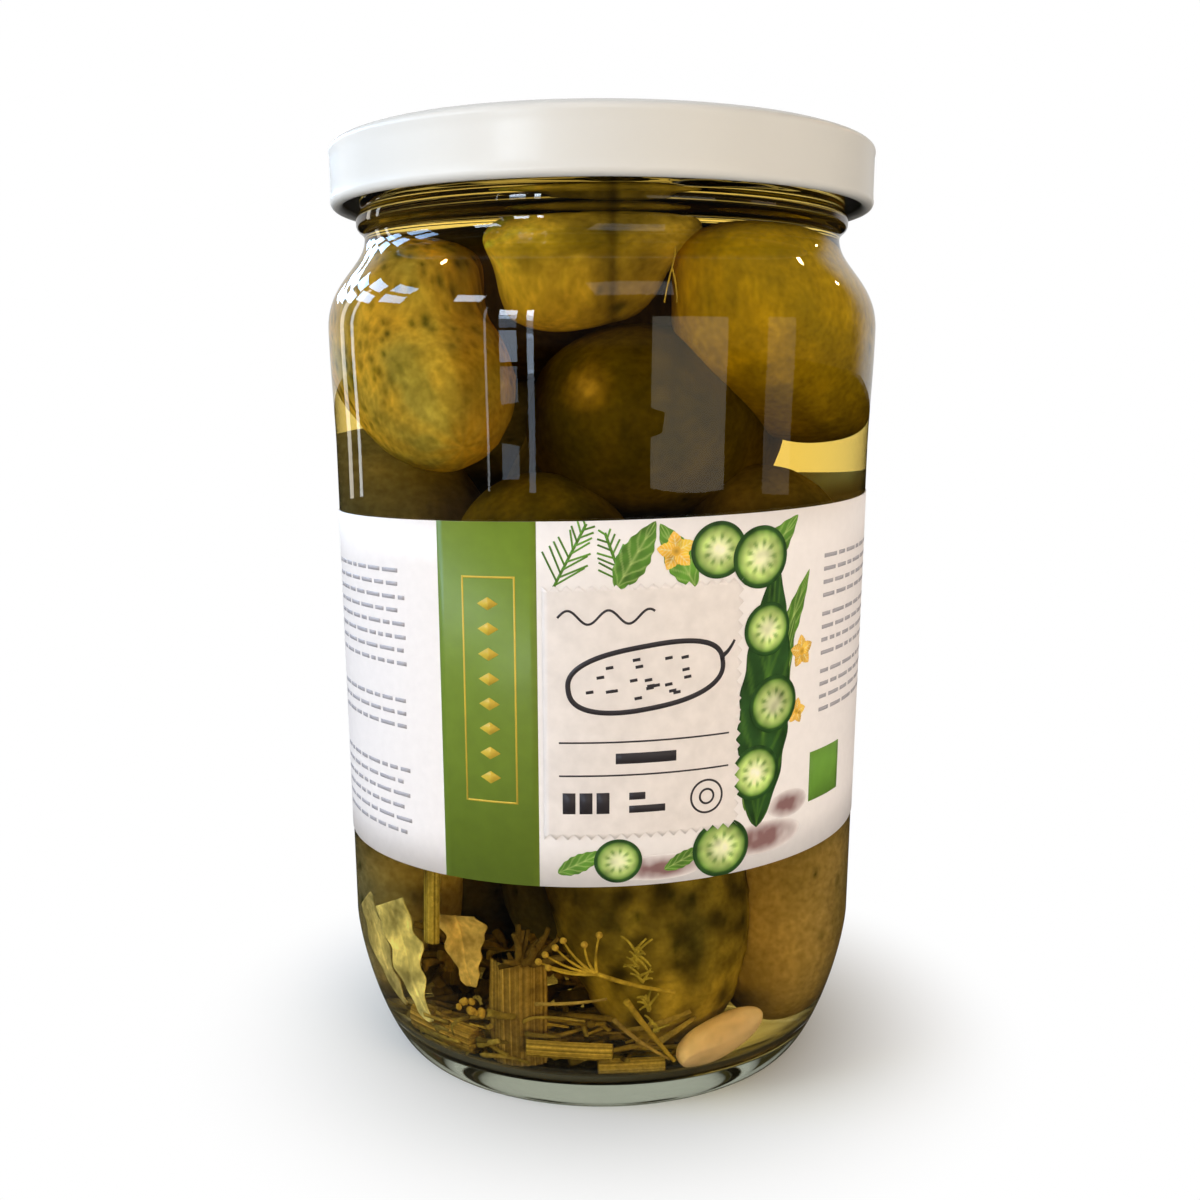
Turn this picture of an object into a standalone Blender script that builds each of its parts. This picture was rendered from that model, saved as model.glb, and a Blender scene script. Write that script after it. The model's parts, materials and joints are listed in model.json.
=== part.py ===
"""A sealed glass jar of pickled gherkins, 720 ml, with a white twist-off lid and a paper label.

The jar stands on the origin with its axis along +Z, and the middle of its label faces -Y.
All lengths below are in millimetres and become metres where a mesh is made.
"""
import math

import bmesh
import bpy
import numpy as np
from mathutils import Matrix, Vector

MM = 0.001
GAP = 0.3

# Glass jar, outside
SHOULDER_RADIUS = 44.88
SHOULDER_HEIGHT = 122.0
PANEL_TOP_RADIUS = 44.4
PANEL_TOP_HEIGHT = 114.0
HEEL_RADIUS = 43.9
HEEL_HEIGHT = 23.4
HEEL_ROUNDNESS = 1.42
FOOT_RADIUS = 35.7
FOOT_WIDTH = 2.9
PUSH_UP = 2.4
NECK_RADIUS = 38.6
NECK_HEIGHT = 136.2
FINISH_RADIUS = 39.3
BEAD_RADIUS = 39.9
BEAD_HEIGHT = 138.7
RIM_HEIGHT = 149.2
MOUTH_RADIUS = 36.4

# Glass jar, inside
WALL = 2.5
FLOOR_HEIGHT = 4.4
FLOOR_DOME = 1.6
INNER_HEEL_HEIGHT = 24.0
INNER_HEEL_ROUNDNESS = 2.3
FLOOR_RADIUS = 27.0

# Lid
LID_RADIUS = 43.8
LID_BOTTOM = 140.6
LID_TOP = 150.85
LID_SHEET = 0.6
LID_CORNER = 1.7
CURL_RADIUS = 1.0
PANEL_STEP_RADIUS = 35.6
PANEL_STEP_DEPTH = 0.8
BUTTON_RADIUS = 13.0
BUTTON_RISE = 0.35

# Label
LABEL_BOTTOM = 40.5
LABEL_HEIGHT = 54.3
LABEL_SHEET = 0.25
LABEL_HALF_TURN = math.radians(165.0)
LABEL_RISE_PER_RADIAN = 1.13

ROUND_STEPS = 48

# Each gherkin: middle, direction of its long axis, half length, radius, bend
GHERKINS = {
    "left": ((-26.0, -10.9, 117.0), (0.28, -0.72, -0.50), 23.0, 12.4, 1.0),
    "centre": ((5.6, -4.0, 107.0), (-0.10, -0.97, 0.12), 27.0, 15.8, 0.5),
    "right": ((24.2, -8.5, 121.5), (-0.27, -0.61, 0.28), 22.0, 14.4, 1.0),
    "top": ((-1.2, -16.5, 132.2), (0.95, -0.10, 0.24), 14.5, 9.8, 0.5),
    "back_top": ((-2.5, 26.0, 104.5), (0.97, 0.12, 0.12), 19.0, 12.5, 1.0),
    "back_neck": ((1.0, 20.5, 126.0), (0.99, 0.04, 0.03), 29.0, 10.8, 1.0),
    "low_front": ((-9.0, -21.0, 78.0), (0.05, 0.10, 0.98), 22.5, 14.4, 1.0),
    "low_right": ((21.8, -13.0, 74.8), (-0.05, 0.12, 0.98), 26.5, 14.4, 1.5),
    "front_foot": ((5.0, -19.0, 36.0), (0.18, -0.05, -0.95), 28.5, 14.3, -1.0),
    "low_left": ((-25.0, 9.5, 67.5), (-0.04, 0.08, 0.95), 39.5, 14.4, 1.0),
    "right_foot": ((26.0, -3.0, 34.0), (0.03, 0.10, 0.95), 27.5, 14.0, 1.5),
    "back_foot": ((-2.0, 25.0, 41.0), (0.06, -0.04, 0.99), 34.0, 14.0, 1.0),
    "left_foot": ((-30.0, 4.0, 29.0), (0.05, 0.12, 0.95), 22.0, 11.2, 1.0),
    "back_left": ((-18.0, 21.0, 38.0), (-0.05, 0.05, 0.99), 30.0, 13.5, 1.0),
}
GHERKIN_SIDES = 16
GHERKIN_RINGS = 11
GHERKIN_BLUNTNESS = 2.6
CORE_RADIUS = 20.0
CORE_BOTTOM = 12.0
CORE_TOP = 116.0

# Cut dill stalks on the floor of the jar: ends and radius
DILL_STALKS = {
    "dill_stalk_upright": ((-12.2, -26.2, 6.3), (-12.2, -26.2, 23.4), 4.3),
    "dill_stalk_left": ((-28.6, -19.8, 10.4), (-18.9, -27.9, 9.7), 2.5),
    "dill_stalk_right": ((-11.4, -33.5, 10.9), (1.6, -34.4, 10.7), 1.5),
    "dill_stalk_front": ((-0.6, -32.4, 7.4), (9.4, -31.4, 7.4), 1.4),
    "dill_stem_thin": ((-25.6, -26.3, 25.5), (-24.8, -28.2, 60.0), 1.4),
}

# Garlic clove: middle, long axis, half length, radius
GARLIC = ((18.0, -30.6, 11.4), (0.86, 0.34, 0.38), 7.6, 3.6)

# Leaf scraps: middle, direction of the length, direction it faces, length, width
LEAVES = {
    "leaf_tall": ((-29.5, -22.5, 20.5), (0.30, -0.35, -0.89), (-0.72, -0.69, 0.05), 20.0, 7.5),
    "leaf_low": ((-33.0, -13.5, 19.0), (0.36, -0.52, -0.77), (-0.90, -0.40, -0.10), 18.0, 7.0),
    "leaf_corner": ((-20.3, -25.5, 24.3), (0.20, 0.05, -0.98), (-0.45, -0.89, 0.05), 12.0, 6.5),
}
LEAF_SHEET = 0.4
LEAF_WAVE = 0.5


def clear_scene():
    for thing in list(bpy.data.objects):
        bpy.data.objects.remove(thing, do_unlink=True)


def new_collection(name):
    group = bpy.data.collections.new(name)
    bpy.context.scene.collection.children.link(group)
    return group


def material(name, colour, roughness, metallic=0.0, transmission=0.0):
    finish = bpy.data.materials.new(name)
    finish.use_nodes = True
    shader = finish.node_tree.nodes["Principled BSDF"]
    shader.inputs["Base Color"].default_value = (*colour, 1.0)
    shader.inputs["Roughness"].default_value = roughness
    shader.inputs["Metallic"].default_value = metallic
    shader.inputs["Transmission Weight"].default_value = transmission
    finish.diffuse_color = (*colour, 1.0)
    return finish


def add_object(name, mesh, group, finish=None):
    thing = bpy.data.objects.new(name, mesh)
    group.objects.link(thing)
    if finish is not None:
        mesh.materials.append(finish)
    return thing


def shade_round(mesh):
    mesh.shade_smooth()
    mesh.set_sharp_from_angle(angle=math.radians(35.0))


# Profiles: points (radius, height) in millimetres


def superellipse(middle, reach, roundness, first, last, count):
    """Points middle + reach * (cos^(2/n), sin^(2/n)) for angles from first to last degrees."""
    angles = np.radians(np.linspace(first, last, count))
    across = np.sign(np.cos(angles)) * np.abs(np.cos(angles)) ** (2.0 / roundness)
    along = np.sign(np.sin(angles)) * np.abs(np.sin(angles)) ** (2.0 / roundness)
    return [(middle[0] + reach[0] * a, middle[1] + reach[1] * b) for a, b in zip(across, along)]


def bezier(start, start_handle, end_handle, end, count):
    """Points of one cubic Bezier stretch, both ends included."""
    t = np.linspace(0.0, 1.0, count)[:, None]
    weights = ((1 - t) ** 3, 3 * t * (1 - t) ** 2, 3 * t ** 2 * (1 - t), t ** 3)
    corners = (start, start_handle, end_handle, end)
    curve = sum(w * np.array(corner) for w, corner in zip(weights, corners))
    return [tuple(point) for point in curve]


def shoulder_curve(inset, count):
    """The S-shaped stretch from neck to shoulder, drawn in by the glass thickness where inset is given."""
    neck = NECK_RADIUS - inset
    shoulder = SHOULDER_RADIUS - inset
    return bezier(
        (neck, NECK_HEIGHT - 0.25 * inset),
        (neck, NECK_HEIGHT - 4.5),
        (shoulder, SHOULDER_HEIGHT + 7.5 - 0.5 * inset),
        (shoulder, SHOULDER_HEIGHT - 0.5 * inset),
        count,
    )


def panel_radius(height):
    """Outside radius of the slightly tapered label panel at a height."""
    share = (height - HEEL_HEIGHT) / (PANEL_TOP_HEIGHT - HEEL_HEIGHT)
    return HEEL_RADIUS + share * (PANEL_TOP_RADIUS - HEEL_RADIUS)


def inner_wall():
    """The inside of the glass from the mouth down to the middle of the floor."""
    points = [(MOUTH_RADIUS, RIM_HEIGHT - 1.2), (MOUTH_RADIUS, NECK_HEIGHT + 1.5)]
    points += shoulder_curve(WALL, 7)
    points += [(PANEL_TOP_RADIUS - WALL, PANEL_TOP_HEIGHT), (HEEL_RADIUS - WALL, INNER_HEEL_HEIGHT + 6.0)]
    points += superellipse(
        (FLOOR_RADIUS, INNER_HEEL_HEIGHT),
        (HEEL_RADIUS - WALL - FLOOR_RADIUS, FLOOR_HEIGHT - INNER_HEEL_HEIGHT),
        INNER_HEEL_ROUNDNESS, 0.0, 90.0, 7,
    )
    points += [(0.55 * FLOOR_RADIUS, FLOOR_HEIGHT + 0.7 * FLOOR_DOME), (0.0, FLOOR_HEIGHT + FLOOR_DOME)]
    return points


def glass_profile():
    """Half of a cut through the glass: up the inside to the rim, down the outside and in under the foot."""
    lip = 1.2
    outside = superellipse(
        (FINISH_RADIUS - lip, RIM_HEIGHT - lip), (lip, lip), 2.0, 90.0, 0.0, 3)
    outside += [(FINISH_RADIUS, BEAD_HEIGHT + 1.6), (BEAD_RADIUS, BEAD_HEIGHT + 0.7)]
    outside += [(BEAD_RADIUS, BEAD_HEIGHT - 0.6), (NECK_RADIUS + 0.2, BEAD_HEIGHT - 1.6)]
    outside += shoulder_curve(0.0, 9)
    outside += [(SHOULDER_RADIUS - 0.1, SHOULDER_HEIGHT - 4.5), (PANEL_TOP_RADIUS, PANEL_TOP_HEIGHT)]
    outside += superellipse(
        (FOOT_RADIUS, HEEL_HEIGHT), (HEEL_RADIUS - FOOT_RADIUS, -HEEL_HEIGHT), HEEL_ROUNDNESS, 0.0, 90.0, 8)
    foot_inner = FOOT_RADIUS - FOOT_WIDTH
    outside += [(foot_inner, 0.0), (foot_inner - 2.5, 0.55 * PUSH_UP), (0.5 * foot_inner, 0.9 * PUSH_UP)]
    outside += [(0.0, PUSH_UP)]
    rim_inner = [(MOUTH_RADIUS + 0.5, RIM_HEIGHT - 0.2)]
    return list(reversed(inner_wall())) + rim_inner + outside


def turned_mesh(name, profile):
    """A wire profile at +X, listed so that it runs down the outer side of the turned shape."""
    builder = bmesh.new()
    corners = [builder.verts.new((radius * MM, 0.0, height * MM)) for radius, height in profile]
    for first, second in zip(corners, corners[1:]):
        builder.edges.new((first, second))
    mesh = bpy.data.meshes.new(name)
    builder.to_mesh(mesh)
    builder.free()
    return mesh


def turn(thing, steps=ROUND_STEPS, angle=2.0 * math.pi, rise=0.0):
    screw = thing.modifiers.new("turn", "SCREW")
    screw.axis = "Z"
    screw.angle = angle
    screw.screw_offset = rise
    screw.steps = steps
    screw.render_steps = steps
    screw.use_merge_vertices = rise == 0.0
    screw.merge_threshold = 0.00002
    screw.use_smooth_shade = True


def make_glass(group):
    mesh = turned_mesh("jar_glass", glass_profile())
    turn(add_object("jar_glass", mesh, group, material("clear_glass", (0.86, 0.9, 0.87), 0.03, 0.0, 1.0)))


def make_lid(group):
    """Pressed steel lid: stepped top panel, rounded corner, straight skirt and an inward curl."""
    sheet = LID_SHEET
    panel = LID_TOP - PANEL_STEP_DEPTH
    top = [(0.0, panel + BUTTON_RISE), (BUTTON_RADIUS, panel + BUTTON_RISE), (BUTTON_RADIUS + 1.2, panel)]
    top += [(PANEL_STEP_RADIUS - 0.9, panel), (PANEL_STEP_RADIUS, LID_TOP)]
    corner_middle = (LID_RADIUS - LID_CORNER, LID_TOP - LID_CORNER)
    corner = superellipse(corner_middle, (LID_CORNER, LID_CORNER), 2.0, 90.0, 0.0, 5)
    curl_middle = (LID_RADIUS - CURL_RADIUS, LID_BOTTOM + CURL_RADIUS)
    curl = superellipse(curl_middle, (CURL_RADIUS, CURL_RADIUS), 2.0, 0.0, -180.0, 6)
    inner_corner = (LID_RADIUS - sheet, LID_TOP - LID_CORNER)
    inner = [(LID_RADIUS - sheet, LID_BOTTOM + 2.2 * CURL_RADIUS), inner_corner]
    inner += [(LID_RADIUS - LID_CORNER, LID_TOP - sheet), (PANEL_STEP_RADIUS + 0.2, LID_TOP - sheet)]
    inner += [(PANEL_STEP_RADIUS - 0.5, panel - sheet), (0.0, panel - sheet)]
    mesh = turned_mesh("lid", top + corner + curl + inner)
    turn(add_object("lid", mesh, group, material("white_lacquer", (0.9, 0.9, 0.88), 0.25)))


def make_label(group):
    """Paper label wound round the panel a little askew, with a gap between its ends at the back."""
    heights = (LABEL_BOTTOM + LABEL_HEIGHT, LABEL_BOTTOM + 0.5 * LABEL_HEIGHT, LABEL_BOTTOM)
    start_drop = LABEL_HALF_TURN * LABEL_RISE_PER_RADIAN
    profile = [(panel_radius(height) + GAP, height - start_drop) for height in heights]
    mesh = turned_mesh("label", profile)
    label = add_object("label", mesh, group, material("label_paper", (0.93, 0.91, 0.9), 0.5))
    # The profile starts at the left end of the sheet and is carried round the front to the right end.
    mesh.transform(Matrix.Rotation(-math.pi / 2 - LABEL_HALF_TURN, 4, "Z"))
    turn(label, steps=56, angle=2.0 * LABEL_HALF_TURN, rise=2.0 * start_drop * MM)
    sheet = label.modifiers.new("sheet", "SOLIDIFY")
    sheet.thickness = LABEL_SHEET * MM
    sheet.offset = 1.0


def wall_radius(heights, clearance):
    """Inside radius of the glass at the given heights above its floor, less a clearance."""
    wall = np.array([point for point in inner_wall() if point[0] >= FLOOR_RADIUS])[::-1]
    return np.interp(heights, wall[:, 1], wall[:, 0]) - clearance


def press_inside(points, clearance=0.6):
    """Moves points that would cross the glass straight in towards the axis, as a soft pickle gives way."""
    reach = np.hypot(points[:, 0], points[:, 1])
    limit = wall_radius(points[:, 2], clearance)
    shrink = np.minimum(1.0, limit / np.maximum(reach, 1e-6))
    points[:, :2] *= shrink[:, None]
    return points


def axis_frame(direction):
    """Rotation matrix that turns +Z to a direction."""
    return np.array(Vector(direction).normalized().to_track_quat("Z", "Y").to_matrix())


def pickle_mesh(name, middle, direction, half_length, radius, bend, bluntness, sides, rings):
    """A blunt spindle: radius * sqrt(1 - |s|^bluntness) at the share s of its half length, bent sideways."""
    builder = bmesh.new()
    bmesh.ops.create_uvsphere(builder, u_segments=sides, v_segments=rings, radius=1.0)
    mesh = bpy.data.meshes.new(name)
    builder.to_mesh(mesh)
    builder.free()
    points = np.empty(len(mesh.vertices) * 3)
    mesh.vertices.foreach_get("co", points)
    points = points.reshape(-1, 3)
    share = np.sign(points[:, 2]) * np.abs(points[:, 2]) ** 0.9
    around = np.arctan2(points[:, 1], points[:, 0])
    across = radius * np.sqrt(np.maximum(0.0, 1.0 - np.abs(share) ** bluntness)) * (1.0 - 0.06 * share)
    local = np.stack((
        across * np.cos(around) + bend * (1.0 - share ** 2),
        across * np.sin(around),
        half_length * share,
    ), axis=1)
    placed = press_inside(local @ axis_frame(direction).T + np.array(middle))
    mesh.vertices.foreach_set("co", (placed * MM).ravel())
    mesh.update()
    return mesh


def outer_shell_only(mesh):
    """Keeps the widest connected skin, so that no sealed hollow and no loose scrap is left."""
    builder = bmesh.new()
    builder.from_mesh(mesh)
    unseen = set(builder.verts)
    skins = []
    while unseen:
        skin = set()
        front = [unseen.pop()]
        while front:
            vertex = front.pop()
            skin.add(vertex)
            for edge in vertex.link_edges:
                other = edge.other_vert(vertex)
                if other in unseen:
                    unseen.remove(other)
                    front.append(other)
        skins.append(skin)
    widest = max(skins, key=lambda skin: max(v.co.z for v in skin) - min(v.co.z for v in skin))
    loose = [vertex for skin in skins if skin is not widest for vertex in skin]
    bmesh.ops.delete(builder, geom=loose, context="VERTS")
    builder.to_mesh(mesh)
    builder.free()


def make_gherkins(group):
    """The heap of pickles that fills the jar, fused to a plain core down its middle."""
    heap = new_collection("gherkin_pieces")
    for name, (middle, direction, half_length, radius, bend) in GHERKINS.items():
        piece = pickle_mesh(
            name, middle, direction, half_length, radius, bend,
            GHERKIN_BLUNTNESS, GHERKIN_SIDES, GHERKIN_RINGS)
        add_object(name, piece, heap)
    builder = bmesh.new()
    bmesh.ops.create_cone(
        builder, cap_ends=True, segments=14, radius1=CORE_RADIUS * MM, radius2=CORE_RADIUS * MM,
        depth=(CORE_TOP - CORE_BOTTOM) * MM)
    core = bpy.data.meshes.new("gherkins")
    builder.to_mesh(core)
    builder.free()
    core.transform(Matrix.Translation((0.0, 0.0, 0.5 * (CORE_TOP + CORE_BOTTOM) * MM)))
    gherkins = add_object("gherkins", core, group, material("gherkin_skin", (0.33, 0.27, 0.05), 0.35))
    union = gherkins.modifiers.new("fuse", "BOOLEAN")
    union.operation = "UNION"
    union.operand_type = "COLLECTION"
    union.collection = heap
    union.solver = "MANIFOLD"
    scene_state = bpy.context.evaluated_depsgraph_get()
    fused = bpy.data.meshes.new_from_object(gherkins.evaluated_get(scene_state))
    gherkins.modifiers.remove(union)
    gherkins.data = fused
    outer_shell_only(fused)
    for thing in list(heap.objects):
        bpy.data.objects.remove(thing, do_unlink=True)
    bpy.data.collections.remove(heap)
    shade_round(fused)


def make_stalk(group, name, start, end, radius, finish):
    """A cut length of dill stalk: a straight round rod with flat ends."""
    middle = 0.5 * (np.array(start) + np.array(end)) * MM
    span = Vector(end) - Vector(start)
    bpy.ops.mesh.primitive_cylinder_add(
        vertices=14, radius=radius * MM, depth=span.length * MM, location=middle,
        rotation=span.to_track_quat("Z", "Y").to_euler())
    stalk = bpy.context.object
    stalk.name = name
    stalk.data.name = name
    stalk.data.materials.append(finish)
    shade_round(stalk.data)
    for holder in list(stalk.users_collection):
        holder.objects.unlink(stalk)
    group.objects.link(stalk)


def make_garlic(group):
    """A peeled clove: fat at its root end and drawn out to a point."""
    middle, direction, half_length, radius = GARLIC
    mesh = pickle_mesh("garlic_clove", middle, direction, half_length, radius, 0.6, 1.7, 12, 8)
    add_object("garlic_clove", mesh, group, material("garlic_flesh", (0.72, 0.5, 0.27), 0.4))
    shade_round(mesh)


def make_leaf(group, name, middle, direction, facing, length, width, finish):
    """A scrap of leaf: a pointed outline with waves along it, as a thin sheet."""
    builder = bmesh.new()
    bmesh.ops.create_grid(builder, x_segments=4, y_segments=9, size=1.0)
    bmesh.ops.triangulate(builder, faces=builder.faces)
    mesh = bpy.data.meshes.new(name)
    builder.to_mesh(mesh)
    builder.free()
    points = np.empty(len(mesh.vertices) * 3)
    mesh.vertices.foreach_get("co", points)
    points = points.reshape(-1, 3)
    along = points[:, 1]
    narrowing = 0.25 + 0.75 * np.cos(0.5 * math.pi * np.clip(0.5 + 0.5 * along, 0.0, 1.0)) ** 0.7
    side = points[:, 0] * 0.5 * width * narrowing
    forward = along * 0.5 * length
    lift = LEAF_WAVE * np.sin(3.4 * along + 0.6 * points[:, 0])
    long_way = Vector(direction).normalized()
    normal = (Vector(facing) - Vector(facing).dot(long_way) * long_way).normalized()
    cross_way = long_way.cross(normal)
    placed = np.outer(side, cross_way) + np.outer(forward, long_way) + np.outer(lift, normal)
    placed = press_inside(placed + np.array(middle), clearance=0.9)
    mesh.vertices.foreach_set("co", (placed * MM).ravel())
    mesh.update()
    leaf = add_object(name, mesh, group, finish)
    sheet = leaf.modifiers.new("sheet", "SOLIDIFY")
    sheet.thickness = LEAF_SHEET * MM
    sheet.offset = 0.0


clear_scene()
parts = new_collection("pickle_jar")
make_glass(parts)
make_lid(parts)
make_label(parts)
make_gherkins(parts)
stalk_finish = material("dill_stalk", (0.36, 0.28, 0.1), 0.5)
for stalk_name, (start_point, end_point, stalk_radius) in DILL_STALKS.items():
    make_stalk(parts, stalk_name, start_point, end_point, stalk_radius, stalk_finish)
make_garlic(parts)
leaf_finish = material("leaf_scrap", (0.42, 0.36, 0.12), 0.5)
for leaf_name, leaf_sizes in LEAVES.items():
    make_leaf(parts, leaf_name, *leaf_sizes, leaf_finish)
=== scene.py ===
import json
import math

import bpy
import numpy as np
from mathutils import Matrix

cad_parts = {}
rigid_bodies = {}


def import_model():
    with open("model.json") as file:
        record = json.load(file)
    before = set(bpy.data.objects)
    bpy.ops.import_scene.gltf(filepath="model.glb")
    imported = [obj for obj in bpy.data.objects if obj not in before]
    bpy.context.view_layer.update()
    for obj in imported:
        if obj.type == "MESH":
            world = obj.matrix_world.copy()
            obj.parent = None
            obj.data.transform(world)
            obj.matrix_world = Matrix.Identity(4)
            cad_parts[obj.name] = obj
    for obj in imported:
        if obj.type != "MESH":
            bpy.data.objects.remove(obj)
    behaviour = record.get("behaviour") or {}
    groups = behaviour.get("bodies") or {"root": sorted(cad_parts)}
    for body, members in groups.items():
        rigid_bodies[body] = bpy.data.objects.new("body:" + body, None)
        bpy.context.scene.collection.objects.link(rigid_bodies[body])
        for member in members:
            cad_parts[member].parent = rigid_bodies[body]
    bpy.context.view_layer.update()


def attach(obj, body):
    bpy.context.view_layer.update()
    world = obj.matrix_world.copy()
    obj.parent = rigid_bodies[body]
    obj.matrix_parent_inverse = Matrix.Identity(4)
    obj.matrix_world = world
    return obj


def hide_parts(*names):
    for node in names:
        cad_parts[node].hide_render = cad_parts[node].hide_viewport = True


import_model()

MM = 0.001

# The view: the jar seen from just below its shoulder, close up, on the axis of its label.
# The picture is 1200 pixels square, and its vertical shift keeps the jar in the middle of the frame.
PICTURE = 1200
FOCAL_PIXELS = 1375.0
AXIS_COLUMN = 602.0
HORIZON_CENTRE_ROW = 690.0
CAMERA_DISTANCE = 237.3 * MM
CAMERA_HEIGHT = 113.1 * MM
CAMERA_DIP = math.radians(12.44)

camera_data = bpy.data.cameras.new("camera")
camera_data.sensor_width = 36.0
camera_data.lens = FOCAL_PIXELS / PICTURE * camera_data.sensor_width
camera_data.shift_y = (HORIZON_CENTRE_ROW - PICTURE / 2) / PICTURE
camera_data.shift_x = (PICTURE / 2 - AXIS_COLUMN) / PICTURE
camera_data.clip_start = 0.01
camera_data.clip_end = 30.0
camera = bpy.data.objects.new("camera", camera_data)
camera.location = (0.0, -CAMERA_DISTANCE, CAMERA_HEIGHT)
camera.rotation_euler = (math.pi / 2 - CAMERA_DIP, 0.0, 0.0)
bpy.context.scene.collection.objects.link(camera)
bpy.context.scene.camera = camera
bpy.context.scene.view_settings.view_transform = "Standard"

# The light: a white studio room. Soft lamps light the jar, and the panels beside it are what its
# glass mirrors: a row of windows far to the left, a tall bright doorway and a pale wall to the right.

JAR_MIDDLE = 0.11


def lamp(name, azimuth, elevation, distance, width, height, radiance, colour, mirrored=False, lit=None):
    """A rectangular lamp facing the jar: azimuth in degrees from the front, positive to the right, and
    elevation above the middle. A mirrored lamp only shows in glossy surfaces, any other only lights,
    where lit is given only the things of that collection."""
    turn, lift = math.radians(azimuth), math.radians(elevation)
    away = np.array((math.cos(lift) * math.sin(turn), -math.cos(lift) * math.cos(turn), math.sin(lift)))
    data = bpy.data.lights.new(name, "AREA")
    data.shape = "RECTANGLE"
    data.size = width
    data.size_y = height
    data.energy = 4.0 * width * height * radiance
    data.color = colour
    thing = bpy.data.objects.new(name, data)
    thing.location = away * distance + np.array((0.0, 0.0, JAR_MIDDLE))
    thing.rotation_euler = (math.pi / 2 - lift, 0.0, turn)
    thing.visible_camera = False
    thing.visible_transmission = False
    thing.visible_glossy = mirrored
    thing.visible_diffuse = not mirrored
    bpy.context.scene.collection.objects.link(thing)
    if lit is not None:
        thing.light_linking.receiver_collection = lit


COOL = (0.82, 0.91, 1.0)
WARM = (1.0, 0.84, 0.62)
lamp("key", -75.0, 25.0, 1.2, 0.7, 0.6, 8.0, COOL)
lamp("fill", 35.0, 25.0, 1.2, 0.7, 0.5, 5.0, WARM)
lamp("bounce", -6.0, -3.0, 0.9, 0.9, 0.12, 2.4, (1.0, 0.92, 0.80))


PANEL_DISTANCE = 1.2


def panel(name, azimuth, elevation, width, height, radiance, colour):
    """A bright panel that only shows as a reflection in the jar."""
    lamp(name, azimuth, elevation, PANEL_DISTANCE, width, height, radiance, colour, mirrored=True)


# The doorway: a wide and a slim pane side by side, in rows by elevation, height, radiance and blueness.
DOORWAY_ROWS = (
    (11.5, 0.12, 14.0, 0.9), (6.6, 0.07, 8.0, 0.5), (3.2, 0.06, 1.4, 0.5), (-0.2, 0.07, 3.2, 0.6),
    (-3.5, 0.05, 1.2, 0.7))
for row, (lift, tall, light, blue) in enumerate(DOORWAY_ROWS):
    pane_colour = (0.42 + 0.4 * blue, 0.68 + 0.22 * blue, 1.0)
    panel(f"doorway_wide_{row}", -36.5, lift, 0.15, tall, light, pane_colour)
    panel(f"doorway_slim_{row}", -27.6, lift - 0.8, 0.055, tall + 0.015, 1.3 * light, pane_colour)
panel("door_frame", -46.0, 6.0, 0.02, 0.5, 2.5, (0.9, 0.95, 1.0))
panel("skylight", -57.0, 28.0, 0.25, 0.16, 9.0, (0.75, 0.87, 1.0))
panel("pale_wall", 34.5, -1.0, 0.66, 0.34, 0.9, (1.0, 0.95, 0.76))
panel("pale_pillar", 75.0, 0.5, 0.30, 0.3, 0.5, (1.0, 0.90, 0.75))
panel("ceiling", 14.0, 44.0, 0.6, 0.4, 0.8, (1.0, 0.97, 0.92))
panel("left_post", -121.0, 5.0, 0.06, 0.9, 2.6, (0.9, 0.95, 1.0))
panel("left_wall", -132.0, 0.0, 0.10, 0.9, 1.6, (1.0, 0.95, 0.85))
for bulb, (turn, lift) in enumerate(((-108.0, 51.0), (127.0, 39.0), (131.0, 26.0), (76.0, 71.0))):
    panel(f"bulb_{bulb}", turn, lift, 0.035, 0.035, 60.0, (1.0, 0.62, 0.28))

# The windows stand on one wall to the left, in two rows with narrow bars between the panes. Each pane
# lies so far beyond the jar and so far above its middle.
WINDOW_WALL = 1.2
for column in range(5):
    for row in range(2):
        beyond = 0.18 + 0.5 * column
        above = 0.52 + 0.24 * row
        reach = math.hypot(WINDOW_WALL, beyond)
        turn = -90.0 - math.degrees(math.atan2(beyond, WINDOW_WALL))
        lift = math.degrees(math.atan2(above, reach))
        lamp(f"window_{column}_{row}", turn, lift, math.hypot(reach, above), 0.34, 0.15, 7.0,
             (0.42, 0.66, 1.0), mirrored=True)

world = bpy.data.worlds.new("room")
world.use_nodes = True
bpy.context.scene.world = world
room_tree = world.node_tree
room = room_tree.nodes["Background"]


def node(tree, kind, inputs=None, **settings):
    """A new shader node with its settings. Each input gets a plain value or the output that feeds it."""
    made = tree.nodes.new("ShaderNode" + kind)
    for setting, value in settings.items():
        setattr(made, setting, value)
    for place, value in (inputs or {}).items():
        if isinstance(value, bpy.types.NodeSocket):
            tree.links.new(value, made.inputs[place])
        else:
            made.inputs[place].default_value = value
    return made


room_direction = node(room_tree, "TexCoord").outputs["Generated"]
room_y = node(room_tree, "SeparateXYZ", {0: room_direction}).outputs["Y"]
ray = node(room_tree, "LightPath")


def brightness(front, back, start, end):
    """The strength of the room by direction: front up to start, back from end on, along the y axis."""
    values = {"From Min": start, "From Max": end, "To Min": front, "To Max": back, "Value": room_y}
    return node(room_tree, "MapRange", values, interpolation_type="SMOOTHSTEP").outputs["Result"]


def for_rays(share, others, kind):
    """One strength for rays of a kind and another for all the rest."""
    return node(room_tree, "Mix", {"Factor": share, "A": others, "B": kind}).outputs["Result"]


def over(tree, value, limit):
    """One where a value is over a limit, else nothing."""
    return node(tree, "Math", {0: value, 1: limit}, operation="GREATER_THAN").outputs[0]


# A ray that has crossed more than three clear surfaces has come through the brine, and one that has
# been mirrored at all sees a darker room.
THREE_CROSSED = 3.5
NOT_MIRRORED = 0.5

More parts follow.
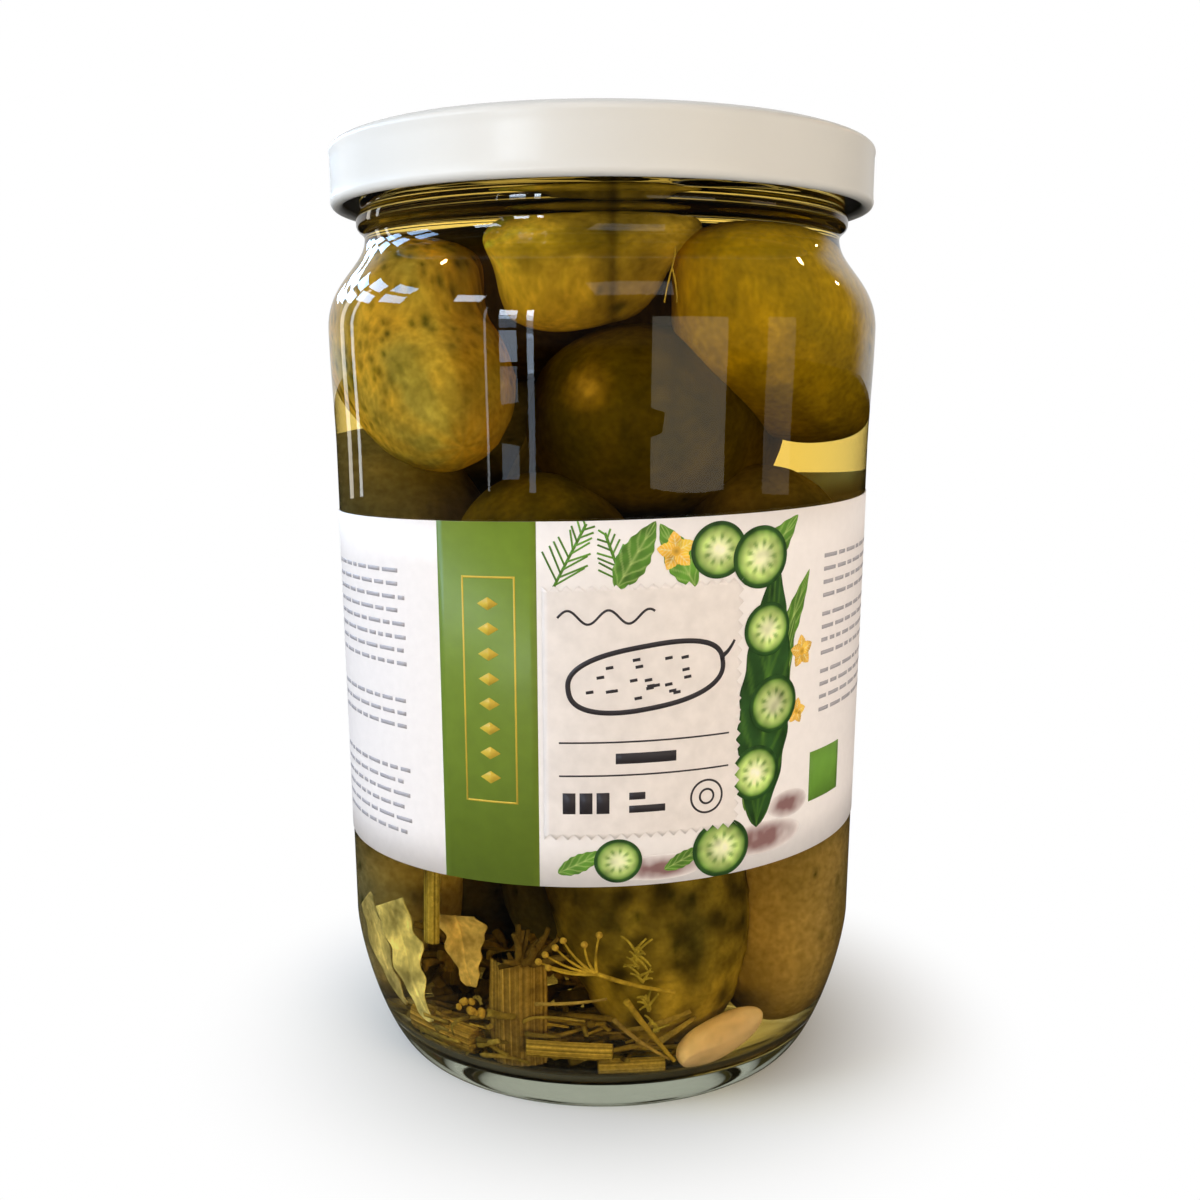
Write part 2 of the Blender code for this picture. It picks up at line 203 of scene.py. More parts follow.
in_brine = over(room_tree, ray.outputs["Transmission Depth"], THREE_CROSSED)
in_mirror = over(room_tree, ray.outputs["Glossy Depth"], NOT_MIRRORED)
through = for_rays(in_brine, brightness(0.01, 0.55, -0.2, 0.3), brightness(0.01, 1.4, -0.1, 0.5))
strength = for_rays(ray.outputs["Is Transmission Ray"], brightness(0.20, 0.60, -0.1, 0.35), through)
strength = for_rays(in_mirror, strength, brightness(0.02, 0.60, 0.60, 0.80))
strength = for_rays(ray.outputs["Is Camera Ray"], strength, brightness(1.0, 1.0, -1.0, 1.0))
room_tree.links.new(strength, room.inputs["Strength"])
room.inputs["Color"].default_value = (1.0, 1.0, 1.0, 1.0)

cycles = bpy.context.scene.cycles
cycles.max_bounces = 18
cycles.transmission_bounces = 16
cycles.glossy_bounces = 6
cycles.diffuse_bounces = 3
cycles.transparent_max_bounces = 24
cycles.caustics_reflective = False
cycles.caustics_refractive = False

# Table top: a pale matt board that the jar stands on. Away from the jar it fades into the white room.


def finish_of(name, values):
    """A new node material with its tree and its Principled shader, whose inputs take the given values."""
    made = bpy.data.materials.new(name)
    made.use_nodes = True
    shader = made.node_tree.nodes["Principled BSDF"]
    for place, value in values.items():
        shader.inputs[place].default_value = value
    return made, made.node_tree, shader


FLOOR_REACH = 6.0
FLOOR_CLEAR = 0.032
FLOOR_FADED = 0.078
floor_mesh = bpy.data.meshes.new("table_top")
floor_mesh.from_pydata(
    [(-FLOOR_REACH, -FLOOR_REACH, 0.0), (FLOOR_REACH, -FLOOR_REACH, 0.0),
     (FLOOR_REACH, FLOOR_REACH, 0.0), (-FLOOR_REACH, FLOOR_REACH, 0.0)], [], [(0, 1, 2, 3)])
floor = bpy.data.objects.new("table_top", floor_mesh)
bpy.context.scene.collection.objects.link(floor)
floor_material, floor_tree, floor_shader = finish_of(
    "pale_board", {"Base Color": (0.93, 0.93, 0.93, 1.0), "Roughness": 0.8, "Specular IOR Level": 0.2})
glow = node(floor_tree, "Emission")
bright = node(floor_tree, "Emission", {"Strength": 1.3})
floor_place = node(floor_tree, "TexCoord").outputs["Object"]
floor_distance = node(floor_tree, "VectorMath", {0: floor_place}, operation="LENGTH").outputs["Value"]
floor_ray = node(floor_tree, "LightPath")


def matt(*colour):
    """A plain diffuse shader, for rays that do not come straight from the camera."""
    return node(floor_tree, "BsdfDiffuse", {"Color": (*colour, 1.0)})


def blended(share, first, second):
    """Two shaders mixed by a share."""
    return node(floor_tree, "MixShader", {0: share, 1: first.outputs[0], 2: second.outputs[0]})


def faded(near, far, start, end):
    """A floor that is one shader near the jar and another from a distance on, in metres from its foot."""
    values = {"From Min": start, "From Max": end, "Value": floor_distance}
    share = node(floor_tree, "MapRange", values, interpolation_type="SMOOTHSTEP")
    return blended(share.outputs["Result"], near, far)


lit_board = faded(floor_shader, glow, FLOOR_CLEAR, FLOOR_FADED)
# Rays that come through the brine see the board painted dark brown near the jar, and rays through the glass
# alone see it painted dark grey: a painted shadow under the jar.
under_brine = faded(faded(matt(0.13, 0.10, 0.055), matt(0.24, 0.19, 0.11), 0.12, 0.3), bright, 0.5, 1.1)
under_glass = faded(matt(0.17, 0.17, 0.15), glow, 0.5, 1.1)
past_brine = over(floor_tree, floor_ray.outputs["Transmission Depth"], THREE_CROSSED)
seen_through = blended(past_brine, under_glass, under_brine)
board = blended(floor_ray.outputs["Is Transmission Ray"], matt(0.7, 0.68, 0.64), seen_through)
# Mirrors see the board painted dark near the jar and near black farther out, as a painted dark reflection.
mirrored_floor = faded(matt(0.13, 0.115, 0.08), matt(0.02, 0.02, 0.02), 0.045, 0.08)
board = blended(over(floor_tree, floor_ray.outputs["Glossy Depth"], NOT_MIRRORED), board, mirrored_floor)
board = blended(floor_ray.outputs["Is Camera Ray"], board, lit_board)
floor_tree.links.new(board.outputs[0], floor_tree.nodes["Material Output"].inputs["Surface"])
floor_mesh.materials.append(floor_material)

# The glass jar: pressed and blown soda-lime glass, turned here from one profile that runs up the
# outside from the foot over heel, label panel, shoulder, neck, bead and rim, and down the inside.

SHOULDER_RADIUS = 44.88
SHOULDER_HEIGHT = 122.0
PANEL_TOP_RADIUS = 44.4
PANEL_TOP_HEIGHT = 114.0
SWELL_HEIGHT = 103.0
HEEL_RADIUS = 43.9
HEEL_HEIGHT = 23.4
FOOT_RADIUS = 35.7
FOOT_WIDTH = 2.9
PUSH_UP = 2.4
NECK_RADIUS = 38.6
NECK_HEIGHT = 136.2
FINISH_RADIUS = 39.3
BEAD_RADIUS = 39.9
BEAD_HEIGHT = 138.7
RIM_HEIGHT = 149.2
MOUTH_RADIUS = 36.4
WALL = 2.5
FLOOR_HEIGHT = 4.4
FLOOR_DOME = 1.6
INNER_HEEL_HEIGHT = 24.0
FLOOR_RADIUS = 27.0
TURNS = 192


def superellipse(middle, reach, roundness, first, last, count):
    """Points middle + reach * (cos^(2/n), sin^(2/n)) for angles from first to last degrees."""
    angles = np.radians(np.linspace(first, last, count))
    across = np.sign(np.cos(angles)) * np.abs(np.cos(angles)) ** (2.0 / roundness)
    along = np.sign(np.sin(angles)) * np.abs(np.sin(angles)) ** (2.0 / roundness)
    return np.stack((middle[0] + reach[0] * across, middle[1] + reach[1] * along), axis=1)


def bezier(start, start_handle, end_handle, end, count):
    """Points of one cubic Bezier stretch, both ends included."""
    t = np.linspace(0.0, 1.0, count)[:, None]
    corners = np.array((start, start_handle, end_handle, end), float)
    return ((1 - t) ** 3 * corners[0] + 3 * t * (1 - t) ** 2 * corners[1]
            + 3 * t ** 2 * (1 - t) * corners[2] + t ** 3 * corners[3])


def shoulder_curve(inset, count):
    """The S-shaped stretch from neck to shoulder, drawn in by the glass thickness where inset is given."""
    neck = NECK_RADIUS - inset
    shoulder = SHOULDER_RADIUS - inset
    return bezier(
        (neck, NECK_HEIGHT - 0.25 * inset), (neck, NECK_HEIGHT - 4.5),
        (shoulder, SHOULDER_HEIGHT + 7.5 - 0.5 * inset), (shoulder, SHOULDER_HEIGHT - 0.5 * inset), count)


def panel_radius(height):
    """Outside radius in millimetres of the slightly tapered label panel at a height, with the smooth
    swell that leads up into the shoulder."""
    share = (height - HEEL_HEIGHT) / (PANEL_TOP_HEIGHT - HEEL_HEIGHT)
    swell = np.clip((height - SWELL_HEIGHT) / (SHOULDER_HEIGHT - SWELL_HEIGHT), 0.0, 1.0)
    straight = HEEL_RADIUS + share * (PANEL_TOP_RADIUS - HEEL_RADIUS)
    return straight + (SHOULDER_RADIUS - straight) * swell ** 2 * (3.0 - 2.0 * swell)


def inner_wall():
    """The inside of the glass from the mouth down to the middle of the floor."""
    panel_heights = np.linspace(SHOULDER_HEIGHT - 3.0, INNER_HEEL_HEIGHT + 6.0, 30)
    heel = (HEEL_RADIUS - WALL - FLOOR_RADIUS, FLOOR_HEIGHT - INNER_HEEL_HEIGHT)
    dome = FLOOR_HEIGHT + FLOOR_DOME
    return np.concatenate((
        bezier((MOUTH_RADIUS, RIM_HEIGHT - 1.2), (MOUTH_RADIUS, 145.0), (MOUTH_RADIUS, 142.0),
               (MOUTH_RADIUS, NECK_HEIGHT + 1.5), 8),
        shoulder_curve(WALL, 36),
        np.array([(panel_radius(z) - WALL, z) for z in panel_heights]),
        superellipse((FLOOR_RADIUS, INNER_HEEL_HEIGHT), heel, 2.3, 0.0, 90.0, 36),
        bezier((0.96 * FLOOR_RADIUS, FLOOR_HEIGHT + 0.02), (0.7 * FLOOR_RADIUS, FLOOR_HEIGHT + 0.2),
               (0.4 * FLOOR_RADIUS, dome), (0.0, dome), 12)))


def outer_wall():
    """The outside of the glass from the rim down to the middle of the push-up under the foot."""
    lip = 1.2
    foot_inner = FOOT_RADIUS - FOOT_WIDTH
    heel = (HEEL_RADIUS - FOOT_RADIUS, -HEEL_HEIGHT)
    return np.concatenate((
        np.array([(MOUTH_RADIUS + 0.5, RIM_HEIGHT - 0.2)]),
        superellipse((FINISH_RADIUS - lip, RIM_HEIGHT - lip), (lip, lip), 2.0, 90.0, 0.0, 8),
        np.array([(FINISH_RADIUS, z) for z in np.linspace(RIM_HEIGHT - 1.5, BEAD_HEIGHT + 1.9, 18)]),
        bezier((FINISH_RADIUS, BEAD_HEIGHT + 1.7), (FINISH_RADIUS, BEAD_HEIGHT + 0.9),
               (BEAD_RADIUS + 0.1, BEAD_HEIGHT + 1.2), (BEAD_RADIUS, BEAD_HEIGHT), 9),
        bezier((BEAD_RADIUS, BEAD_HEIGHT - 0.3), (BEAD_RADIUS, BEAD_HEIGHT - 1.5),
               (NECK_RADIUS + 0.3, BEAD_HEIGHT - 1.3), (NECK_RADIUS, NECK_HEIGHT + 0.1), 9),
        shoulder_curve(0.0, 44),
        np.array([(panel_radius(z), z) for z in np.linspace(SHOULDER_HEIGHT - 1.0, HEEL_HEIGHT + 4.0, 34)]),
        superellipse((FOOT_RADIUS, HEEL_HEIGHT), heel, 1.42, 0.0, 90.0, 40),
        np.array([(foot_inner, 0.0)]),
        bezier((foot_inner - 0.4, 0.1), (foot_inner - 3.0, 0.5 * PUSH_UP), (0.5 * foot_inner, PUSH_UP),
               (0.0, PUSH_UP), 12)))


def put_mesh(name, points, faces, tint=None):
    """An object at the origin from points in millimetres and lists of corners, shaded smooth. A tint
    is one linear colour for each point, kept as the attribute that its material reads."""
    mesh = bpy.data.meshes.new(name)
    mesh.from_pydata((np.asarray(points) * MM).tolist(), [], [list(face) for face in faces])
    mesh.shade_smooth()
    if tint is not None:
        layer = mesh.color_attributes.new(name="tint", type="FLOAT_COLOR", domain="POINT")
        layer.data.foreach_set("color", np.column_stack((tint, np.ones(len(tint)))).ravel())
    thing = bpy.data.objects.new(name, mesh)
    bpy.context.scene.collection.objects.link(thing)
    return thing


def ring_faces(rows, steps):
    """Corners of a grid of rows by steps points, closed round and shut by one pole point at each end."""
    row, column = np.meshgrid(np.arange(rows - 1), np.arange(steps), indexing="ij")
    here = row * steps + column
    beside = row * steps + (column + 1) % steps
    sides = np.stack((here, beside, beside + steps, here + steps), axis=-1).reshape(-1, 4)
    around = np.arange(steps)
    following = (around + 1) % steps
    last = (rows - 1) * steps
    first_pole = np.stack((np.full(steps, rows * steps), following, around), axis=-1)
    last_pole = np.stack((np.full(steps, rows * steps + 1), last + around, last + following), axis=-1)
    return sides.tolist() + first_pole.tolist() + last_pole.tolist()


def turned(name, profile, relief=None):
    """A profile of (radius, height) turned round the z axis: (r cos a, r sin a, z). It starts and ends
    on the axis and runs up the outer side, and relief(angle, radius, height) is added to the radius."""
    profile = np.asarray(profile, float)
    angle = np.linspace(0.0, 2.0 * math.pi, TURNS, endpoint=False)
    radius = np.repeat(profile[1:-1, :1], TURNS, axis=1)
    height = np.repeat(profile[1:-1, 1:], TURNS, axis=1)
    if relief is not None:
        radius = radius + relief(angle[None, :], radius, height)
    grid = np.stack((radius * np.cos(angle), radius * np.sin(angle), height), axis=-1).reshape(-1, 3)
    points = np.concatenate((grid, [(0.0, 0.0, profile[0, 1]), (0.0, 0.0, profile[-1, 1])]))
    return put_mesh(name, points, ring_faces(len(profile) - 2, TURNS))


LUG_HEIGHT = 140.6
LUG_CLIMB = 4.0
LUG_RELIEF = 0.9


def thread_relief(angle, radius, height):
    """Four twist-off lugs: low round ridges that climb the finish by 4 mm in a sixth of a turn each."""
    outside = (height > BEAD_HEIGHT + 1.0) & (height < RIM_HEIGHT - 1.4) & (radius > FINISH_RADIUS - 0.1)
    climb = np.zeros_like(height)
    for lug in range(4):
        share = np.mod(angle - 0.25 - lug * math.pi / 2.0 + math.pi, 2.0 * math.pi) - math.pi
        share = share / (math.pi / 3.0)
        line = LUG_HEIGHT + LUG_CLIMB * share
        ends = np.clip(8.0 * share, 0.0, 1.0) * np.clip(8.0 * (1.0 - share), 0.0, 1.0)
        climb = np.maximum(climb, ends * np.exp(-((height - line) / 0.55) ** 2))
    return np.where(outside, LUG_RELIEF * climb, 0.0)


def see_through(name, index, tint, absorbed):
    """Clear stuff of one refractive index. Lamps shine through it with a tint, and absorbed is the
    share of red, green and blue light that it takes away, for each metre, by absorption in its volume."""
    made, tree, shader = finish_of(name, {
        "Base Color": (1.0, 1.0, 1.0, 1.0), "Roughness": 0.0, "IOR": index, "Transmission Weight": 1.0})
    passing = node(tree, "BsdfTransparent", {"Color": (*tint, 1.0)})
    shadow_ray = node(tree, "LightPath").outputs["Is Shadow Ray"]
    mix = node(tree, "MixShader", {0: shadow_ray, 1: shader.outputs[0], 2: passing.outputs[0]})
    density = 1.2 * max(absorbed)
    kept_light = (*(1.0 - share / density for share in absorbed), 1.0)
    volume = node(tree, "VolumeAbsorption", {"Color": kept_light, "Density": density})
    out = tree.nodes["Material Output"]
    tree.links.new(mix.outputs[0], out.inputs["Surface"])
    tree.links.new(volume.outputs[0], out.inputs["Volume"])
    return made


glass = turned("jar_glass_fine", np.concatenate((outer_wall()[::-1], inner_wall())), thread_relief)
glass.data.materials.append(see_through("clear_glass", 1.5, (0.96, 0.97, 0.96), (6.0, 5.0, 8.0)))
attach(glass, "root")
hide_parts("jar_glass")

# The pickles: fourteen small cucumbers cured in brine, standing on end below and laid over each other
# at the top, where they press against the glass. The skin is wet and olive, with pits and small warts.

# Of each: its middle, the way it points, half its length, its radius and how far it is bent.
GHERKINS = {
    "left": ((-26.0, -10.9, 117.0), (0.28, -0.72, -0.50), 23.0, 12.4, 1.0),
    "centre": ((5.6, -4.0, 107.0), (-0.10, -0.97, 0.12), 27.0, 15.8, 0.5),
    "right": ((24.2, -8.5, 121.5), (-0.27, -0.61, 0.28), 22.0, 14.4, 1.0),
    "top": ((-1.2, -16.5, 132.2), (0.95, -0.10, 0.24), 14.5, 9.8, 0.5),
    "back_top": ((-2.5, 26.0, 104.5), (0.97, 0.12, 0.12), 19.0, 12.5, 1.0),
    "back_neck": ((1.0, 20.5, 126.0), (0.99, 0.04, 0.03), 29.0, 10.8, 1.0),
    "low_front": ((-9.0, -21.0, 78.0), (0.05, 0.10, 0.98), 22.5, 14.4, 1.0),
    "low_right": ((21.8, -13.0, 74.8), (-0.05, 0.12, 0.98), 26.5, 14.4, 1.5),
    "front_foot": ((5.0, -19.0, 36.0), (0.18, -0.05, -0.95), 28.5, 14.3, -1.0),
    "low_left": ((-25.0, 9.5, 67.5), (-0.04, 0.08, 0.95), 39.5, 14.4, 1.0),
    "right_foot": ((26.0, -3.0, 34.0), (0.03, 0.10, 0.95), 27.5, 14.0, 1.5),
    "back_foot": ((-2.0, 25.0, 41.0), (0.06, -0.04, 0.99), 34.0, 14.0, 1.0),
    "left_foot": ((-30.0, 4.0, 29.0), (0.05, 0.12, 0.95), 22.0, 11.2, 1.0),
    "back_left": ((-18.0, 21.0, 38.0), (-0.05, 0.05, 0.99), 30.0, 13.5, 1.0),
}
GHERKIN_BLUNTNESS = 2.6

# Of each gherkin: its skin's main colour, its second colour, how many warts and how many pits it has.
# The main colours are partly the pickles' own and partly painted light and shade. The left, right and top
# ones are painted bright where the light falls on them, and the centre and back_neck ones are painted dark
# as painted shade.
SKINS = {
    "left": ((0.84, 0.48, 0.045), (0.42, 0.33, 0.06), 30, 800),
    "centre": ((0.085, 0.056, 0.001), (0.055, 0.040, 0.001), 20, 25),
    "right": ((0.66, 0.41, 0.009), (0.40, 0.27, 0.011), 20, 25),
    "top": ((0.90, 0.66, 0.10), (0.34, 0.26, 0.030), 30, 20),
    "back_neck": ((0.11, 0.08, 0.02), (0.07, 0.055, 0.012), 20, 20),
    "low_front": ((0.115, 0.078, 0.003), (0.07, 0.055, 0.003), 30, 60),
    "low_right": ((0.17, 0.115, 0.020), (0.10, 0.070, 0.012), 20, 30),
    "low_left": ((0.26, 0.23, 0.16), (0.17, 0.155, 0.11), 20, 20),
    "front_foot": ((0.33, 0.23, 0.028), (0.09, 0.07, 0.012), 160, 260),
    "right_foot": ((0.50, 0.34, 0.13), (0.33, 0.23, 0.08), 20, 20),
    "left_foot": ((0.55, 0.47, 0.28), (0.32, 0.28, 0.17), 20, 30),
}
PLAIN_SKIN = ((0.14, 0.13, 0.08), (0.09, 0.085, 0.055), 40, 60)


def press_inside(points, clearance):
    """Moves points that would cross the glass straight in towards the axis, as a soft pickle gives way."""
    wall = inner_wall()[::-1]
    wall = wall[wall[:, 0] >= FLOOR_RADIUS]
    reach = np.hypot(points[:, 0], points[:, 1])
    limit = np.interp(points[:, 2], wall[:, 1], wall[:, 0]) - clearance
    points[:, :2] *= np.minimum(1.0, limit / np.maximum(reach, 1e-6))[:, None]
    return points


def axis_frame(direction):
    """Three unit columns: two across a direction and the direction itself."""
    along = np.asarray(direction, float) / np.linalg.norm(direction)
    side = np.cross((0.0, 0.0, 1.0) if abs(along[2]) < 0.9 else (0.0, 1.0, 0.0), along)
    side /= np.linalg.norm(side)
    return np.stack((side, np.cross(along, side), along), axis=1)


def ripple(points, wavelength, seed, waves=18):
    """A smooth uneven field near -1 to 1: the sum of plane waves cos(2 pi d.p / wavelength + phase) in
    random directions d."""
    draw = np.random.default_rng(seed)
    ways = draw.normal(size=(waves, 3))
    ways *= draw.uniform(0.6, 1.5, (waves, 1)) / np.linalg.norm(ways, axis=1, keepdims=True)
    phase = draw.uniform(0.0, 2.0 * math.pi, waves)
    return np.cos(2.0 * math.pi / wavelength * points @ ways.T + phase).sum(axis=1) / math.sqrt(2.0 * waves)


def gherkin(middle, direction, half_length, radius, bend, skin, seed, rows=130, steps=150):
    """A spindle of radius R * sqrt(1 - |s|^n) at the share s of its half length, with shallow ribs along
    it. Each wart adds, and each pit takes away, depth * exp(-(distance / size)^2) along the surface."""
    main, second, warts, pits = skin
    draw = np.random.default_rng(seed)
    share = -np.cos(np.linspace(0.0, math.pi, rows + 2))[1:-1, None]
    around = np.linspace(0.0, 2.0 * math.pi, steps, endpoint=False)[None, :]
    girth = np.sqrt(np.maximum(0.0, 1.0 - np.abs(share) ** GHERKIN_BLUNTNESS)) * (1.0 - 0.06 * share)
    phase = draw.uniform(0.0, 6.28, 4)
    ribs = 1.0 + 0.010 * np.cos(3 * around + phase[0]) + 0.008 * np.cos(8 * around + phase[1] + share)
    ribs = ribs + 0.014 * np.cos(4.6 * share + phase[2]) * np.cos(around + phase[3])

    def marks(count, long_size, wide_size):
        total = np.zeros((rows, steps))
        for _ in range(count):
            mark_share = math.sin(draw.uniform(-1.45, 1.45))
            mark_around = draw.uniform(0.0, 2.0 * math.pi)
            grow = draw.uniform(0.6, 1.3)
            across = np.mod(around - mark_around + math.pi, 2.0 * math.pi) - math.pi
            far = ((share - mark_share) * half_length / (long_size * grow)) ** 2
            far = far + (across * radius * girth / (wide_size * grow)) ** 2
            total = np.maximum(total, draw.uniform(0.5, 1.0) * np.exp(-far))
        return total

    wart = marks(warts, 0.9, 0.9)
    pit = marks(pits, 0.95, 0.65) * (1.0 - 0.7 * np.clip((share - 0.35) / 0.4, 0.0, 1.0))
    across = radius * girth * ribs + 0.30 * wart - 0.22 * pit
    local = np.stack((
        across * np.cos(around) + bend * (1.0 - share ** 2),
        across * np.sin(around),
        half_length * share + 0.0 * around), axis=-1).reshape(-1, 3)
    poles = np.array([(0.0, 0.0, -half_length * 0.999), (0.0, 0.0, half_length * 0.999)])
    points = press_inside(np.concatenate((local, poles)) @ axis_frame(direction).T + np.array(middle), 0.35)
    stripe = 0.5 + 0.5 * np.cos(8 * around + phase[1] + share)
    blend = np.concatenate(((0.25 * stripe).ravel(), (0.1, 0.1)))
    blend = blend + 0.4 + 0.45 * ripple(points, 17.0, seed) + 0.15 * ripple(points, 5.0, seed + 1)
    blend = np.clip(blend, 0.0, 1.0)
    tint = np.array(main) * (1.0 - blend[:, None]) + np.array(second) * blend[:, None]
    # Pits are painted darker, partly the skin's own dark spots and partly painted shade in their hollows;
    # warts are painted a quarter lighter.
    tint *= 1.0 - 0.85 * np.concatenate((pit.ravel(), (0.0, 0.0)))[:, None] * (1.0, 0.92, 1.0)
    tint *= 1.0 + 0.25 * np.concatenate((wart.ravel(), (0.0, 0.0)))[:, None]
    return points, ring_faces(rows, steps), tint


def tinted(name, roughness, mottle, scale, bump, shine=0.0):
    """A material that takes its colour from the tint of each point, with fine noise of the given scale
    that darkens and lightens it by the mottle share and raises low bumps."""
    made, tree, shader = finish_of(name, {"Roughness": roughness, "Specular IOR Level": shine})
    tint = node(tree, "Attribute", attribute_name="tint").outputs["Color"]
    place = node(tree, "TexCoord").outputs["Object"]
    noise = node(tree, "TexNoise", {"Scale": scale, "Detail": 5.0, "Vector": place}).outputs["Fac"]
    spread = node(tree, "MapRange", {
        "From Min": 0.3, "From Max": 0.7, "To Min": 1.0 - mottle, "To Max": 1.0 + mottle, "Value": noise})
    scaled = node(tree, "VectorMath", {0: tint, "Scale": spread.outputs["Result"]}, operation="SCALE")
    raised = node(tree, "Bump", {"Strength": bump, "Distance": 0.3 * MM, "Height": noise})
    tree.links.new(scaled.outputs[0], shader.inputs["Base Color"])
    tree.links.new(raised.outputs[0], shader.inputs["Normal"])
    return made


# On the front pickle in the middle a rough pale scar shows where the blossom sat.
SCAR_PLACE = np.array((-2.0, -27.5, 113.2))
SCAR_RADIUS = 3.1
SCAR_SKIN = np.array((0.15, 0.09, 0.004))
SCAR_MIDDLE = np.array((0.16, 0.10, 0.02))

# Some skins are darker towards one side: the axis (0 is x, 2 is z), places along it and the tone there.
# These fades are painted light and shade: each skin is painted darker where less light falls on it and
# lighter where more does.
FADES = {
    "right": (2, (102.0, 112.0, 126.0), (0.40, 0.62, 1.0)),
    "top": (0, (-13.0, -9.5, -7.0, -4.0, 0.3, 1.4, 2.5, 12.0),
            (1.5, 1.5, 1.15, 1.0, 0.55, 0.2, 0.48, 0.5)),
    "left": (0, (-33.0, -28.0, -22.5, -18.5, -12.0), (1.15, 1.0, 1.2, 0.65, 0.5)),
    "low_left": (2, (60.0, 95.0), (1.3, 1.0)),
}

# Others are blotched: how much darker and lighter than their tint the blotches are.
BLOTCHES = {"front_foot": 0.65, "left": 0.12, "top": 0.25, "right": 0.15, "centre": 0.15, "low_front": 0.2}

# The left one, whose pits show most, has a finer grid.
FINE_GRIDS = {"left": (170, 190)}

skin_material = tinted("gherkin_skin", 0.42, 0.22, 900.0, 0.25)
for order, (pickle_name, sizes) in enumerate(GHERKINS.items()):
    rows, steps = FINE_GRIDS.get(pickle_name, (130, 150))
    skin = SKINS.get(pickle_name, PLAIN_SKIN)
    points, faces, tint = gherkin(*sizes, skin=skin, seed=40 + order, rows=rows, steps=steps)
    if pickle_name == "centre":
        far = np.linalg.norm((points - SCAR_PLACE) * (0.95, 0.5, 0.8), axis=1)
        ring = np.exp(-(far / SCAR_RADIUS) ** 4)[:, None]
        core_spot = np.exp(-((far - 0.4) / 1.5) ** 2)[:, None]
        rough = (1.0 + 0.35 * ripple(points, 2.4, 7))[:, None]
        tint = tint * (1.0 - ring) + ring * rough * SCAR_SKIN + core_spot * rough * SCAR_MIDDLE
    if pickle_name in BLOTCHES:
        tint = tint * np.clip(1.0 + BLOTCHES[pickle_name] * ripple(points, 6.5, 3), 0.2, 1.8)[:, None]
    if pickle_name in FADES:
        axis, places, tones = FADES[pickle_name]
        tint = tint * np.interp(points[:, axis], places, tones)[:, None]
    pickle = put_mesh("gherkin_" + pickle_name, points, faces, np.clip(tint, 0.0, 0.95))
    pickle.data.materials.append(skin_material)
    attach(pickle, "root")
    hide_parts("gherkins")

# The middle of the heap: the pickles that stand behind the others, seen only as a dark shape in the gaps.

CORE_RADIUS = 17.0
CORE_BOTTOM = 12.0
CORE_TOP = 114.0
CORE_SKIN = ((0.12, 0.11, 0.07), (0.08, 0.07, 0.045), 40, 40)

core_middle = (0.0, 2.0, 0.5 * (CORE_TOP + CORE_BOTTOM))
core_half_length = 0.5 * (CORE_TOP - CORE_BOTTOM)
points, faces, tint = gherkin(
    core_middle, (0.0, 0.0, 1.0), core_half_length, CORE_RADIUS, 0.5, skin=CORE_SKIN, seed=90)
points[:, :2] *= 1.0 + 0.08 * ripple(points, 40.0, 91)[:, None]
core = put_mesh("gherkin_core", points, faces, tint)
core.data.materials.append(skin_material)
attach(core, "root")
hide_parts("gherkins")

# The dill stalks: cut lengths of old flowering stem, hollow, ribbed and fibrous. One stands on end
# against the glass, the others lie on the floor of the jar, and a thin stem hangs behind the label.

# Of each: its two ends, its radius, its colour and how many ribs it has.
DILL_STALKS = {
    "dill_stalk_upright": ((-12.2, -26.2, 6.3), (-12.2, -26.2, 23.4), 4.3, (0.26, 0.17, 0.045), 20),
    "dill_stalk_left": ((-28.6, -19.8, 10.4), (-18.9, -27.9, 9.7), 2.5, (0.40, 0.25, 0.045), 14),
    "dill_stalk_right": ((-11.4, -33.5, 10.9), (1.6, -34.4, 10.7), 1.5, (0.38, 0.25, 0.04), 12),
    "dill_stalk_front": ((-0.6, -32.4, 7.4), (9.4, -31.4, 7.4), 1.4, (0.38, 0.26, 0.05), 12),
    "dill_stem_thin": ((-25.6, -26.3, 25.5), (-24.8, -28.2, 60.0), 1.4, (0.42, 0.30, 0.05), 10),
}


def swept(path, radii, steps, seed=None):
    """A tube along a path: at each point a ring of the given radius square to the path, shut by a pole at
    each end. Radii has one value or one for each step of the ring at every point of the path."""
    path = np.asarray(path, float)
    rows = len(path)
    tangent = np.gradient(path, axis=0)
    tangent /= np.linalg.norm(tangent, axis=1, keepdims=True)
    mean = tangent.mean(axis=0)
    guide = np.eye(3)[np.argmin(np.abs(mean))]
    side = np.cross(guide, tangent)
    side /= np.linalg.norm(side, axis=1, keepdims=True)
    other = np.cross(tangent, side)
    around = np.linspace(0.0, 2.0 * math.pi, steps, endpoint=False)
    radii = np.broadcast_to(np.asarray(radii, float).reshape(rows, -1), (rows, steps))
    turned_side = np.cos(around)[None, :, None] * side[:, None, :]
    turned_other = np.sin(around)[None, :, None] * other[:, None, :]
    ring = path[:, None, :] + radii[..., None] * (turned_side + turned_other)
    points = np.concatenate((ring.reshape(-1, 3), path[:1], path[-1:]))
    return points, ring_faces(rows, steps)


